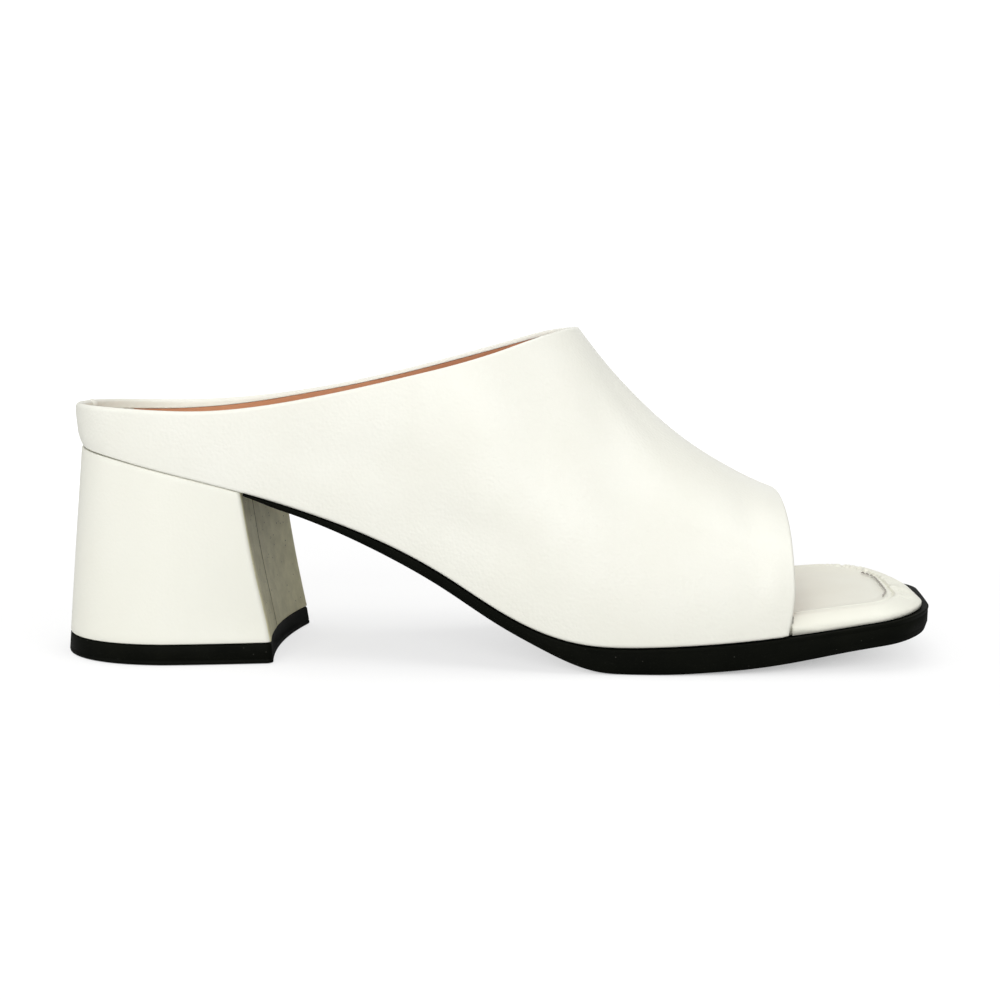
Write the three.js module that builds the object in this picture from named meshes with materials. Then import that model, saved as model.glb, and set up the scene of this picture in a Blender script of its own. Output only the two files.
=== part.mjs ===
// Block-heeled open-toe mule, right foot, standing on its sole.
// Millimetres. +X points to the toe, +Y to the inner (medial) side of the foot, +Z up.
// Five pieces, as a maker would put them together:
//   upper      one hollow shell, open at the collar, at the toe and underneath
//   insole     the wrapped footbed inside it, which shows at the open toe
//   outsole    the thin rubber sole, from the front of the heel to the toe
//   heel_block the covered block heel, with a hollowed front face
//   top_lift   the rubber piece that the heel stands on
// Every shape is worked out in a working frame with x = 0 at the back of the collar, y = 0 on the
// heel's middle line and z = 0 on the floor. The last lines move it to the part's own frame.

import * as THREE from "three";
import { mergeVertices } from "three/addons/utils/BufferGeometryUtils.js";

// ---------- driving sizes ----------
const GAP = 0.3; // between pieces that touch
const WALL = 2.0; // upper: leather and lining together
const HEEL_CENTRE = 32; // the round of the heel ends here
const HEEL_ROUNDNESS = 2.3; // exponent of the superellipse round the heel
const COLLAR_PEAK = 148; // where the collar meets the instep
const RIDGE_SIDE = 5; // the instep's ridge lies this far to the medial side
const VAMP_FRONT = 208.4; // front edge of the upper at the side
const VAMP_SWEEP = 1.0; // how far that edge sweeps back on its way up to the ridge
const TOE_END = 250.4; // front edge of the sole
const TOE_SKEW = 0.08; // the toe's end slants forward to the medial side
const TOE_SKEW_FROM = 200;
const LATERAL_CORNER = 15; // corner radii of the square toe
const MEDIAL_CORNER = 18;
const SOLE_PROUD = 0.5; // the sole stands out this far under the upper
const SOLE_DRAFT = 1.0; // the sole's edge leans in this far down to the tread
const INSOLE_SETBACK = 1.9; // from the sole's edge, round the open toe
const LIFT_HEIGHT = 5.6;
const BREAST_X = 54.9; // top corners of the heel's front face
const BREAST_HOLLOW = 2.8; // how far that face is hollowed

// ---------- tables: one row for each section along the foot ----------
// seam: height of the line where the upper meets sole and heel.
// lateral, medial: half widths of the upper at that line.
const FOOT = [
  { x: 3, seam: 60.4, lateral: 27.6, medial: 27.8 },
  { x: 18, seam: 57.8, lateral: 28.2, medial: 28.2 },
  { x: 32, seam: 54.4, lateral: 28.5, medial: 28.5 },
  { x: 55, seam: 48.7, lateral: 29.0, medial: 28.0 },
  { x: 75, seam: 42.5, lateral: 28.4, medial: 26.0 },
  { x: 95, seam: 34.7, lateral: 28.7, medial: 25.4 },
  { x: 112, seam: 25.9, lateral: 30.3, medial: 27.5 },
  { x: 126, seam: 17.4, lateral: 32.6, medial: 31.0 },
  { x: 138, seam: 11.4, lateral: 33.8, medial: 34.9 },
  { x: 150, seam: 8.1, lateral: 34.9, medial: 38.3 },
  { x: 165, seam: 7.4, lateral: 35.4, medial: 42.0 },
  { x: 182, seam: 8.2, lateral: 35.0, medial: 44.2 },
  { x: 200, seam: 9.7, lateral: 33.2, medial: 44.2 },
  { x: 220, seam: 12.1, lateral: 29.8, medial: 41.4 },
  { x: 238, seam: 14.5, lateral: 26.2, medial: 36.2 },
  { x: 252, seam: 16.4, lateral: 22.8, medial: 30.0 },
];
// tread: height of the sole's underside. Below zero it is cut flat on the floor.
const TREAD = [
  { x: 50, tread: 49.0 },
  { x: 75, tread: 40.6 },
  { x: 95, tread: 31.6 },
  { x: 112, tread: 22.3 },
  { x: 126, tread: 13.6 },
  { x: 138, tread: 7.1 },
  { x: 148, tread: 2.5 },
  { x: 156, tread: 0.1 },
  { x: 167, tread: -1.1 },
  { x: 180, tread: 0.1 },
  { x: 192, tread: 1.2 },
  { x: 206, tread: 2.9 },
  { x: 225, tread: 6.0 },
  { x: 240, tread: 8.0 },
  { x: 254, tread: 10.2 },
];
// ridge: height of the instep's ridge, which behind the collar's peak is only a construction line.
// rise: how far up the wall stands before it turns in. crown: how full it stays over the top.
const INSTEP = [
  { x: 0, ridge: 146, rise: 0.62, crown: 0.5, bulge: 1.0 },
  { x: 60, ridge: 148, rise: 0.62, crown: 0.5, bulge: 1.0 },
  { x: 90, ridge: 147, rise: 0.6, crown: 0.5, bulge: 2.0 },
  { x: 105, ridge: 142.5, rise: 0.58, crown: 0.5, bulge: 2.6 },
  { x: 118, ridge: 132, rise: 0.56, crown: 0.5, bulge: 3.0 },
  { x: 130, ridge: 118, rise: 0.55, crown: 0.5, bulge: 3.0 },
  { x: 140, ridge: 105, rise: 0.55, crown: 0.5, bulge: 3.0 },
  { x: 148, ridge: 95, rise: 0.55, crown: 0.5, bulge: 3.0 },
  { x: 155, ridge: 86, rise: 0.56, crown: 0.5, bulge: 3.0 },
  { x: 167, ridge: 73, rise: 0.58, crown: 0.52, bulge: 2.8 },
  { x: 179, ridge: 62.6, rise: 0.62, crown: 0.54, bulge: 2.4 },
  { x: 191, ridge: 54.8, rise: 0.66, crown: 0.56, bulge: 2.0 },
  { x: 202, ridge: 49.2, rise: 0.7, crown: 0.58, bulge: 1.6 },
  { x: 212, ridge: 45.3, rise: 0.72, crown: 0.6, bulge: 1.4 },
];
// collar: height of the collar. step: how much higher it runs on the medial side.
const COLLAR = [
  { x: 0, collar: 73.0, step: 0.0 },
  { x: 20, collar: 72.1, step: -0.2 },
  { x: 43, collar: 71.3, step: 1.5 },
  { x: 70, collar: 74.3, step: 2.1 },
  { x: 100, collar: 80.7, step: 2.4 },
  { x: 128, collar: 88.5, step: 2.4 },
  { x: 140, collar: 92.8, step: 1.2 },
  { x: 148, collar: 95.0, step: 0.0 },
];
// thickness of the insole, padded under the foot and thin at the toe's edge.
// cant: how much thicker it is at the medial edge, and thinner at the lateral one.
const PADDING = [
  { x: 0, thickness: 4.8, cant: 0 },
  { x: 60, thickness: 4.8, cant: 0 },
  { x: 120, thickness: 4.8, cant: 0.2 },
  { x: 170, thickness: 5.0, cant: 0.6 },
  { x: 212, thickness: 5.8, cant: 1.1 },
  { x: 228, thickness: 5.2, cant: 1.1 },
  { x: 241, thickness: 3.5, cant: 0.6 },
  { x: 250, thickness: 2.0, cant: 0 },
];
// The back of the upper from the seam (up = 0) to the collar (up = 1).
const COUNTER = [
  { up: 0, back: 3.2 },
  { up: 0.2, back: 2.0 },
  { up: 0.5, back: 1.4 },
  { up: 0.8, back: 1.1 },
  { up: 1, back: 1.3 },
];
// Outline of the heel from the floor (up = 0) to the seat (up = 1).
const HEEL = [
  { up: 0, back: -3.0, width: 31.9, cornerX: 62.9, corner: 27.6 },
  { up: 0.1, back: -2.5, width: 31.4, cornerX: 62.2, corner: 26.9 },
  { up: 0.5, back: -0.3, width: 29.9, cornerX: 58.6, corner: 27.4 },
  { up: 1, back: 2.6, width: 28.3, cornerX: BREAST_X, corner: 28.6 },
];

// ---------- curves ----------
// Natural cubic spline through one column of a table, against its first column.
function spline(table, column, along = "x") {
  const at = table.map((row) => row[along]);
  const value = table.map((row) => row[column]);
  const last = at.length - 1;
  const bend = new Array(last + 1).fill(0);
  const work = new Array(last + 1).fill(0);
  for (let i = 1; i < last; i++) {
    const share = (at[i] - at[i - 1]) / (at[i + 1] - at[i - 1]);
    const pivot = share * bend[i - 1] + 2;
    const slopeAfter = (value[i + 1] - value[i]) / (at[i + 1] - at[i]);
    const slopeBefore = (value[i] - value[i - 1]) / (at[i] - at[i - 1]);
    bend[i] = (share - 1) / pivot;
    work[i] = ((6 * (slopeAfter - slopeBefore)) / (at[i + 1] - at[i - 1]) - share * work[i - 1]) / pivot;
  }
  bend[last] = 0;
  for (let i = last - 1; i >= 0; i--) bend[i] = bend[i] * bend[i + 1] + work[i];
  return (x) => {
    let i = 0;
    while (i < last - 1 && x > at[i + 1]) i++;
    const span = at[i + 1] - at[i];
    const a = (at[i + 1] - x) / span;
    const b = 1 - a;
    const curve = (a ** 3 - a) * bend[i] + (b ** 3 - b) * bend[i + 1];
    return a * value[i] + b * value[i + 1] + (curve * span * span) / 6;
  };
}

const mix = (a, b, t) => a + (b - a) * t;
const clamp = (v, lo, hi) => Math.min(hi, Math.max(lo, v));
const steps = (n, from = 0, to = 1) => Array.from({ length: n + 1 }, (_, i) => mix(from, to, i / n));

const seamHeight = spline(FOOT, "seam");
const lateralWidth = spline(FOOT, "lateral");
const medialWidth = spline(FOOT, "medial");
const treadHeight = spline(TREAD, "tread");
const ridgeHeight = spline(INSTEP, "ridge");
const wallRise = spline(INSTEP, "rise");
const wallCrown = spline(INSTEP, "crown");
const wallBulge = spline(INSTEP, "bulge");
const collarHeight = spline(COLLAR, "collar");
const collarStep = spline(COLLAR, "step");
const insoleThickness = spline(PADDING, "thickness");
const insoleCant = spline(PADDING, "cant");
const counterBack = spline(COUNTER, "back", "up");
const heelBack = spline(HEEL, "back", "up");
const heelWidth = spline(HEEL, "width", "up");
const heelCornerX = spline(HEEL, "cornerX", "up");
const heelCorner = spline(HEEL, "corner", "up");

// Half width of the foot's outline, side = -1 lateral or +1 medial.
const halfWidth = (x, side) => (side < 0 ? lateralWidth(x) : medialWidth(x));

// ---------- bodies ----------
function geometryOf(points, faces) {
  const geometry = new THREE.BufferGeometry();
  geometry.setAttribute("position", new THREE.Float32BufferAttribute(points.flat(), 3));
  geometry.setIndex(faces.flat());
  return mergeVertices(geometry, 1e-3);
}

// A solid made of stacked grids: point(row, column, layer) gives a corner, rows run from heel to toe,
// columns from lateral to medial and layers from bottom to top.
function block(point, rows, columns, layers) {
  const points = [];
  const index = new Map();
  const corner = (r, c, k) => {
    const key = `${r},${c},${k}`;
    if (!index.has(key)) index.set(key, points.push(point(r, c, k)) - 1);
    return index.get(key);
  };
  const faces = [];
  const quad = (a, b, c, d) => faces.push([a, b, c], [a, c, d]);
  for (let r = 0; r < rows; r++) {
    for (let c = 0; c < columns; c++) {
      const cell = [[r, c], [r + 1, c], [r + 1, c + 1], [r, c + 1]];
      quad(...cell.map(([row, column]) => corner(row, column, layers)));
      quad(...cell.reverse().map(([row, column]) => corner(row, column, 0)));
    }
  }
  const edge = [];
  for (let r = 0; r < rows; r++) edge.push([r, 0]);
  for (let c = 0; c < columns; c++) edge.push([rows, c]);
  for (let r = rows; r > 0; r--) edge.push([r, columns]);
  for (let c = columns; c > 0; c--) edge.push([0, c]);
  edge.forEach(([r, c], i) => {
    const [r2, c2] = edge[(i + 1) % edge.length];
    for (let k = 0; k < layers; k++) {
      quad(corner(r, c, k), corner(r2, c2, k), corner(r2, c2, k + 1), corner(r, c, k + 1));
    }
  });
  return geometryOf(points, faces);
}

// Point of a superellipse that rounds the heel: angle 0 is the middle of the back, 90 degrees the side.
function heelRound(angle, back, width) {
  const power = 2 / HEEL_ROUNDNESS;
  return {
    x: HEEL_CENTRE - (HEEL_CENTRE - back) * Math.cos(angle) ** power,
    y: width * Math.sin(angle) ** power,
  };
}

// Plan of a piece with a rounded heel. The first rows fan round the heel, the others run along the
// foot at the stations given. across is -1 on the lateral edge and +1 on the medial one.
const FAN_START = 0.9; // radians: the first row ends this far round from the middle of the back
function heelPlan(row, across, fanRows, back, width) {
  const fan = row / fanRows;
  const angle = mix(FAN_START, Math.PI / 2, fan);
  const end = heelRound(angle, back, width);
  const first = heelRound(FAN_START, back, width);
  const y = across * end.y;
  const reach = Math.abs((across * first.y) / width);
  const arc = (1 - reach ** HEEL_ROUNDNESS) ** (1 / HEEL_ROUNDNESS);
  const arcX = HEEL_CENTRE - (HEEL_CENTRE - back) * arc;
  return { x: end.x - (1 - fan) * (first.x - arcX), y };
}

// Narrowing that rounds a corner of the square toe, for an outline that ends at endX.
function cornerCut(x, endX, radius) {
  const into = clamp((x - (endX - radius)) / radius, 0, 1);
  return radius * (1 - Math.sqrt(1 - into * into));
}

// The toe's end is skewed: points on the medial side move forward, on the lateral side back.
function skewed(x, y) {
  const amount = clamp((x - TOE_SKEW_FROM) / (TOE_END - TOE_SKEW_FROM), 0, 1.1);
  return x + TOE_SKEW * (y - RIDGE_SIDE) * amount * amount;
}

// Place on the sole at station x, with the whole outline drawn in by inset.
function solePlan(x, across, inset) {
  const side = Math.sign(across) || 1;
  const toeward = clamp((x - VAMP_FRONT) / (TOE_END - VAMP_FRONT), 0, 1);
  const drawn = x - inset * toeward;
  const radius = (side < 0 ? LATERAL_CORNER : MEDIAL_CORNER) - inset;
  const width = halfWidth(drawn, side) + SOLE_PROUD - inset;
  const y = across * (width - cornerCut(drawn, TOE_END - inset, radius));
  return { x: skewed(drawn, y), y };
}

// ---------- upper ----------
// Half section of the last at x: a cubic from the seam (v = 0) over to the ridge (v = 1).
function lastPoint(x, side, v) {
  const seam = seamHeight(x);
  const ridge = ridgeHeight(x);
  const width = halfWidth(x, side);
  const y = [
    side * width,
    side * (width + wallBulge(x)),
    RIDGE_SIDE + side * wallCrown(x) * width,
    RIDGE_SIDE,
  ];
  const z = [seam, seam + wallRise(x) * (ridge - seam), ridge, ridge];
  const w = [(1 - v) ** 3, 3 * v * (1 - v) ** 2, 3 * v * v * (1 - v), v ** 3];
  const sum = (p) => p[0] * w[0] + p[1] * w[1] + p[2] * w[2] + p[3] * w[3];
  return [x, sum(y), sum(z)];
}

// How far up the section the collar cuts it.
function collarCut(x, side) {
  if (x >= COLLAR_PEAK) return 1;
  const height = collarHeight(x) + (side > 0 ? collarStep(x) : 0);
  let low = 0;
  let high = 1;
  for (let i = 0; i < 40; i++) {
    const v = (low + high) / 2;
    if (lastPoint(x, side, v)[2] < height) low = v;
    else high = v;
  }
  return low;
}

// One column of the upper's outer skin, from the seam to its top edge or ridge.
const UPPER_ROWS = 12;
function sideColumn(x, side) {
  const top = collarCut(x, side);
  return steps(UPPER_ROWS).map((r) => lastPoint(x, side, r * top));
}
function vampColumn(share, side) {
  return steps(UPPER_ROWS).map((v) => {
    const front = VAMP_FRONT - VAMP_SWEEP * v * v;
    return lastPoint(mix(COLLAR_PEAK, front, share), side, v);
  });
}
function heelColumn(angle, side) {
  const top = collarCut(HEEL_CENTRE, side);
  const foot = seamHeight(HEEL_CENTRE);
  const rim = lastPoint(HEEL_CENTRE, side, top)[2];
  return steps(UPPER_ROWS).map((r) => {
    const [, y, z] = lastPoint(HEEL_CENTRE, side, r * top);
    const up = (z - foot) / (rim - foot);
    const place = heelRound(angle, counterBack(up), Math.abs(y));
    const collar = collarHeight(place.x) + (side > 0 ? collarStep(place.x) : 0);
    return [place.x, side * place.y, mix(seamHeight(place.x), collar, up)];
  });
}

const SIDE_STATIONS = [32, 44, 56, 68, 80, 91, 102, 112, 121, 129, 135.5, 140.5, 144, 146.4, 147.6];
const VAMP_SHARES = steps(11);
const HEEL_ANGLES = steps(9, 0, Math.PI / 2).slice(0, -1);

function upperColumns(side) {
  return [
    ...HEEL_ANGLES.map((angle) => heelColumn(angle, side)),
    ...SIDE_STATIONS.map((x) => sideColumn(x, side)),
    ...VAMP_SHARES.map((share) => vampColumn(share, side)),
  ];
}

// A wall between a skin and its copy moved inwards, closed along every open edge.
// On the seam the wall stands square on the sole.
function thicken(skin, wall) {
  skin.computeVertexNormals();
  const outer = skin.attributes.position;
  const normals = skin.attributes.normal;
  const faces = skin.index.array;
  const count = outer.count;
  const points = [];
  for (let i = 0; i < count; i++) points.push([outer.getX(i), outer.getY(i), outer.getZ(i)]);
  for (let i = 0; i < count; i++) {
    const normal = new THREE.Vector3().fromBufferAttribute(normals, i);
    const [x, y, z] = points[i];
    const onSeam = Math.abs(z - seamHeight(x)) < 0.01;
    if (onSeam) normal.setZ(0).normalize();
    const inX = x - wall * normal.x;
    const inZ = onSeam ? seamHeight(inX) : z - wall * normal.z;
    points.push([inX, y - wall * normal.y, inZ]);
  }
  const closed = [];
  const directed = new Set();
  for (let i = 0; i < faces.length; i += 3) {
    const [a, b, c] = [faces[i], faces[i + 1], faces[i + 2]];
    closed.push([a, b, c], [a + count, c + count, b + count]);
    directed.add(`${a},${b}`).add(`${b},${c}`).add(`${c},${a}`);
  }
  for (const key of directed) {
    const [a, b] = key.split(",").map(Number);
    if (directed.has(`${b},${a}`)) continue;
    closed.push([b, a, a + count], [b, a + count, b + count]);
  }
  return geometryOf(points, closed);
}

function upper() {
  const columns = [...upperColumns(-1).reverse(), ...upperColumns(1).slice(1)];
  const points = columns.flat();
  const perColumn = UPPER_ROWS + 1;
  const faces = [];
  for (let c = 0; c < columns.length - 1; c++) {
    for (let r = 0; r < UPPER_ROWS; r++) {
      const a = c * perColumn + r;
      const b = a + perColumn;
      faces.push([a, a + 1, b + 1], [a, b + 1, b]);
    }
  }
  return thicken(geometryOf(points, faces), WALL);
}

// ---------- insole ----------
const FAN_ROWS = 6;
const INSOLE_BACK = 5.8;
const INSOLE_STATIONS = [44, 56, 68, 80, 92, 104, 115, 126, 138, 150, 163, 177, 191, 202, 208.9];
const INSOLE_TOE_STATIONS = [210.6, 218, 226, 232.5, 238, 242.2, 245.6, 248.2, 249.7, TOE_END];
const INSOLE_COLUMNS = 10;
const INSOLE_LAYERS = [
  { height: 0, inset: 0 },
  { height: 0.62, inset: 0 },
  { height: 0.9, inset: 0.7 },
  { height: 1, inset: 2.0 },
];

function insolePoint(row, column, layer) {
  const across = mix(-1, 1, column / INSOLE_COLUMNS);
  const side = Math.sign(across) || 1;
  const { height, inset } = INSOLE_LAYERS[layer];
  const inside = WALL + 0.45 + inset;
  const stations = [...INSOLE_STATIONS, ...INSOLE_TOE_STATIONS];
  let place;
  if (row <= FAN_ROWS) {
    const width = halfWidth(HEEL_CENTRE, side) - inside;
    place = heelPlan(row, across, FAN_ROWS, INSOLE_BACK + inset, width);
  } else {
    const x = stations[row - FAN_ROWS - 1];
    const shownInset = INSOLE_SETBACK + inset;
    place = solePlan(x, across, x > VAMP_FRONT + 1 ? shownInset : SOLE_PROUD + inside);
  }
  const thickness = insoleThickness(place.x) + across * insoleCant(place.x);
  return [place.x, place.y, seamHeight(place.x) + height * thickness];
}

function insole() {
  const rows = FAN_ROWS + INSOLE_STATIONS.length + INSOLE_TOE_STATIONS.length;
  return block(insolePoint, rows, INSOLE_COLUMNS, INSOLE_LAYERS.length - 1);
}

// ---------- outsole ----------
const OUTSOLE_STATIONS = [
  55.8, 66, 78, 90, 101, 112, 121, 130, 138, 145, 152, 160, 171, 182, 192, 201, 211, 221, 229, 235.5,
  240.5, 244.5, 247.4, 249.4, TOE_END,
];
const OUTSOLE_COLUMNS = 8;

function outsolePoint(row, column, layer) {
  const across = mix(-1, 1, column / OUTSOLE_COLUMNS);
  const place = solePlan(OUTSOLE_STATIONS[row], across, layer ? 0 : SOLE_DRAFT);
  const hollow = BREAST_HOLLOW * (1 - across * across) * clamp(1 - row / 3, 0, 1);
  const x = place.x - hollow;
  const top = seamHeight(x) - GAP;
  const bottom = Math.max(0, treadHeight(x));
  return [x, place.y, layer ? top : bottom];
}

function outsole() {
  return block(outsolePoint, OUTSOLE_STATIONS.length - 1, OUTSOLE_COLUMNS, 1);
}

// ---------- heel ----------
const HEEL_COLUMNS = 8;
const HEEL_RUN_ROWS = 6; // rows from the end of the heel's round to the hollowed front face
const SEAT_BELOW_SEAM = GAP;

// Plan of the heel at a height from 0 (floor) to 1 (seat).
function heelSection(row, column, up) {
  const across = mix(-1, 1, column / HEEL_COLUMNS);
  const width = heelWidth(up);
  if (row <= FAN_ROWS) return heelPlan(row, across, FAN_ROWS, heelBack(up), width);
  const run = (row - FAN_ROWS) / HEEL_RUN_ROWS;
  const hollow = BREAST_HOLLOW * (1 - across * across) * run * run;
  return {
    x: mix(HEEL_CENTRE, heelCornerX(up), run) - hollow,
    y: across * mix(width, heelCorner(up), run ** 1.2),
  };
}

const BLOCK_LAYERS = 6;
const LIFT_SHARE = 0.1; // share of the heel's height that the top lift takes at the back
function blockPoint(row, column, layer) {
  const rise = layer / BLOCK_LAYERS;
  const { x, y } = heelSection(row, column, mix(LIFT_SHARE, 1, rise));
  const bottom = LIFT_HEIGHT + GAP;
  return [x, y, mix(bottom, seamHeight(x) - SEAT_BELOW_SEAM, rise)];
}
function liftPoint(row, column, layer) {
  const { x, y } = heelSection(row, column, layer * LIFT_SHARE);
  return [x, y, layer * LIFT_HEIGHT];
}
const heelBlock = () => block(blockPoint, FAN_ROWS + HEEL_RUN_ROWS, HEEL_COLUMNS, BLOCK_LAYERS);
const topLift = () => block(liftPoint, FAN_ROWS + HEEL_RUN_ROWS, HEEL_COLUMNS, 1);

// ---------- assembly ----------
const leather = { color: 0xf1f0e8, roughness: 0.5, metalness: 0 };
const rubber = { color: 0x14150f, roughness: 0.45, metalness: 0 };

function piece(name, geometry, look) {
  geometry.computeVertexNormals();
  const mesh = new THREE.Mesh(geometry, new THREE.MeshStandardMaterial(look));
  mesh.name = name;
  return mesh;
}

const shoe = new THREE.Group();
shoe.add(
  piece("upper", upper(), leather),
  piece("insole", insole(), leather),
  piece("outsole", outsole(), rubber),
  piece("heel_block", heelBlock(), leather),
  piece("top_lift", topLift(), rubber),
);

// The part's own frame: origin at the middle of the bottom of the box round the shoe.
const box = new THREE.Box3().setFromObject(shoe);
const middle = box.getCenter(new THREE.Vector3());
shoe.position.set(-middle.x, -middle.y, -box.min.z);

export default shoe;
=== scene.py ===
# %% [markdown]
# # A block-heeled mule in smooth white leather
# The shoe is five things that a maker puts together: an upper pulled over a last, a lining
# inside it, a wrapped insole, a thin rubber sole, and a heel covered in the same leather.
# The plain solids of the frame give the places. Each of them is replaced here by a piece
# with folded edges, stitches, soft creases and a material of its own.
# All shapes are worked out in millimetres in the shoemaker's frame, which has x = 0 at the back
# of the collar, y = 0 on the heel's middle line and z = 0 on the floor.

# %% Load the frame
import math

import bpy
import numpy as np
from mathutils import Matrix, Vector


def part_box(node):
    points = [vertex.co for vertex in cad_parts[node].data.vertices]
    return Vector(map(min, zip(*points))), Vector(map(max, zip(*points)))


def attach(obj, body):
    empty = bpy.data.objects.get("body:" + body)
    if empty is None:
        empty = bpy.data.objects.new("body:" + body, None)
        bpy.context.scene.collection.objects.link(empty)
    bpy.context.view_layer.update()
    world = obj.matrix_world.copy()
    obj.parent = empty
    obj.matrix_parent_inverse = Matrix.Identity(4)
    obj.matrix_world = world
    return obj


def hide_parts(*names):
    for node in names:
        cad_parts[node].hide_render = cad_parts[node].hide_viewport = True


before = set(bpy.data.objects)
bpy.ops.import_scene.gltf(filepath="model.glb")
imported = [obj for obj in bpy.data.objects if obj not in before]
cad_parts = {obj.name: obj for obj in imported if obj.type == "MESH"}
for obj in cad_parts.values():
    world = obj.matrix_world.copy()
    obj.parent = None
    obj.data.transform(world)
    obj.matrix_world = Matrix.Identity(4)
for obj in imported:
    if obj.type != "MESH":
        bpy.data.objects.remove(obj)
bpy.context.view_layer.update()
MM = 0.001

# %% [markdown]
# ## From the shoemaker's frame to the scene
# The top lift is the one piece whose place in the shoemaker's frame is plain to see: its back
# lies 3 mm behind the collar, and it is as wide on the left as on the right.
# One shift then carries every point into the scene.

# %% The shift
LIFT_BACK = -3.0
lift_low, lift_high = [Vector(corner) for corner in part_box("top_lift")]
shift = np.array([lift_low.x - LIFT_BACK * MM, (lift_low.y + lift_high.y) / 2, lift_low.z])


def to_scene(points):
    """Shoemaker's millimetres to metres in the scene."""
    return np.asarray(points, float) * MM + shift


print("shift in mm:", np.round(shift / MM, 2))

# %% [markdown]
# ## The last, as tables and curves
# A shoemaker's last is described by sections. Each table holds one row for each section along
# the foot, and a natural cubic spline runs through every column. The alternative would be a
# hand-placed control cage with a subdivision surface: quicker to start, but its sizes can't
# be read off, and the sole, insole and upper would not share one outline.

# %% Tables of the last
WALL = 2.0
HEEL_CENTRE, HEEL_ROUNDNESS = 32.0, 2.3
COLLAR_PEAK, RIDGE_SIDE = 148.0, 5.0
VAMP_FRONT, VAMP_SWEEP = 208.4, 1.0
TOE_END, TOE_SKEW, TOE_SKEW_FROM = 250.4, 0.08, 200.0
LATERAL_CORNER, MEDIAL_CORNER = 15.0, 18.0
SOLE_PROUD, SOLE_DRAFT, INSOLE_SETBACK = 0.5, 1.0, 1.9
LIFT_HEIGHT, BREAST_HOLLOW = 5.6, 2.8


def table(names, rows):
    """Rows of numbers as named columns."""
    return dict(zip(names.split(), np.array(rows, float).T))


FOOT = table("x seam lateral medial", [
    (3, 60.4, 27.6, 27.8), (18, 57.8, 28.2, 28.2), (32, 54.4, 28.5, 28.5), (55, 48.7, 29.0, 28.0),
    (75, 42.5, 28.4, 26.0), (95, 34.7, 28.7, 25.4), (112, 25.9, 30.3, 27.5), (126, 17.4, 32.6, 31.0),
    (138, 11.4, 33.8, 34.9), (150, 8.1, 34.9, 38.3), (165, 7.4, 35.4, 42.0), (182, 8.2, 35.0, 44.2),
    (200, 9.7, 33.2, 44.2), (220, 12.1, 29.8, 41.4), (238, 14.5, 26.2, 36.2), (252, 16.4, 22.8, 30.0)])
TREAD = table("x tread", [
    (50, 49.0), (75, 40.6), (95, 31.6), (112, 22.3), (126, 13.6), (138, 7.1), (148, 2.5), (156, 0.1),
    (167, -1.1), (180, 0.1), (192, 1.2), (206, 2.9), (225, 6.0), (240, 8.0), (254, 10.2)])
INSTEP = table("x ridge rise crown bulge", [
    (0, 146, 0.62, 0.50, 1.0), (60, 148, 0.62, 0.50, 1.0), (90, 147, 0.60, 0.50, 2.0),
    (105, 142.5, 0.58, 0.50, 2.6), (118, 132, 0.56, 0.50, 3.0), (130, 118, 0.55, 0.50, 3.0),
    (140, 105, 0.55, 0.50, 3.0), (148, 95, 0.55, 0.50, 3.0), (155, 86, 0.56, 0.50, 3.0),
    (167, 73, 0.58, 0.52, 2.8), (179, 62.6, 0.62, 0.54, 2.4), (191, 54.8, 0.66, 0.56, 2.0),
    (202, 49.2, 0.70, 0.58, 1.6), (212, 45.3, 0.72, 0.60, 1.4)])
COLLAR = table("x collar step", [
    (0, 73.0, 0.0), (20, 72.1, -0.2), (43, 71.3, 1.5), (70, 74.3, 2.1), (100, 80.7, 2.4),
    (128, 88.5, 2.4), (140, 92.8, 1.2), (148, 95.0, 0.0)])
PADDING = table("x thickness cant", [
    (0, 4.8, 0), (60, 4.8, 0), (120, 4.8, 0.2), (170, 5.0, 0.6), (212, 5.8, 1.1), (222, 5.6, 1.2),
    (232, 5.3, 1.3), (239, 4.7, 1.1), (243, 3.9, 0.8), (246.5, 2.9, 0.4), (250, 1.9, 0)])
COUNTER = table("up back", [(0, 3.2), (0.2, 2.0), (0.5, 1.4), (0.8, 1.1), (1, 1.3)])
HEEL = table("up back width cornerX corner", [
    (0, -3.0, 31.9, 62.9, 27.6), (0.1, -2.5, 31.4, 62.2, 26.9), (0.5, -0.3, 29.9, 58.6, 27.4),
    (1, 2.6, 28.3, 54.9, 28.6)])

# %% Splines through the tables


def spline(rows, column, along="x"):
    """Natural cubic spline through one column of a table."""
    at, value = rows[along], rows[column]
    span = np.diff(at)
    slope = np.diff(value) / span
    count = len(at)
    system = np.eye(count)
    right = np.zeros(count)
    for i in range(1, count - 1):
        system[i, i - 1:i + 2] = span[i - 1], 2 * (span[i - 1] + span[i]), span[i]
        right[i] = 6 * (slope[i] - slope[i - 1])
    bend = np.linalg.solve(system, right)

    def curve(x):
        x = np.asarray(x, float)
        i = np.clip(np.searchsorted(at, x) - 1, 0, count - 2)
        a = (at[i + 1] - x) / span[i]
        b = 1 - a
        curved = (a ** 3 - a) * bend[i] + (b ** 3 - b) * bend[i + 1]
        return a * value[i] + b * value[i + 1] + curved * span[i] ** 2 / 6
    return curve


def run_length(line):
    """Length along a line of points, from 0 at its first point."""
    return np.concatenate([[0], np.cumsum(np.linalg.norm(np.diff(line, axis=0), axis=1))])


def smoothstep(x, low, high):
    """0 below low, 1 above high, with a soft start and end."""
    t = np.clip((np.asarray(x, float) - low) / (high - low), 0, 1)
    return t * t * (3 - 2 * t)


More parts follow.
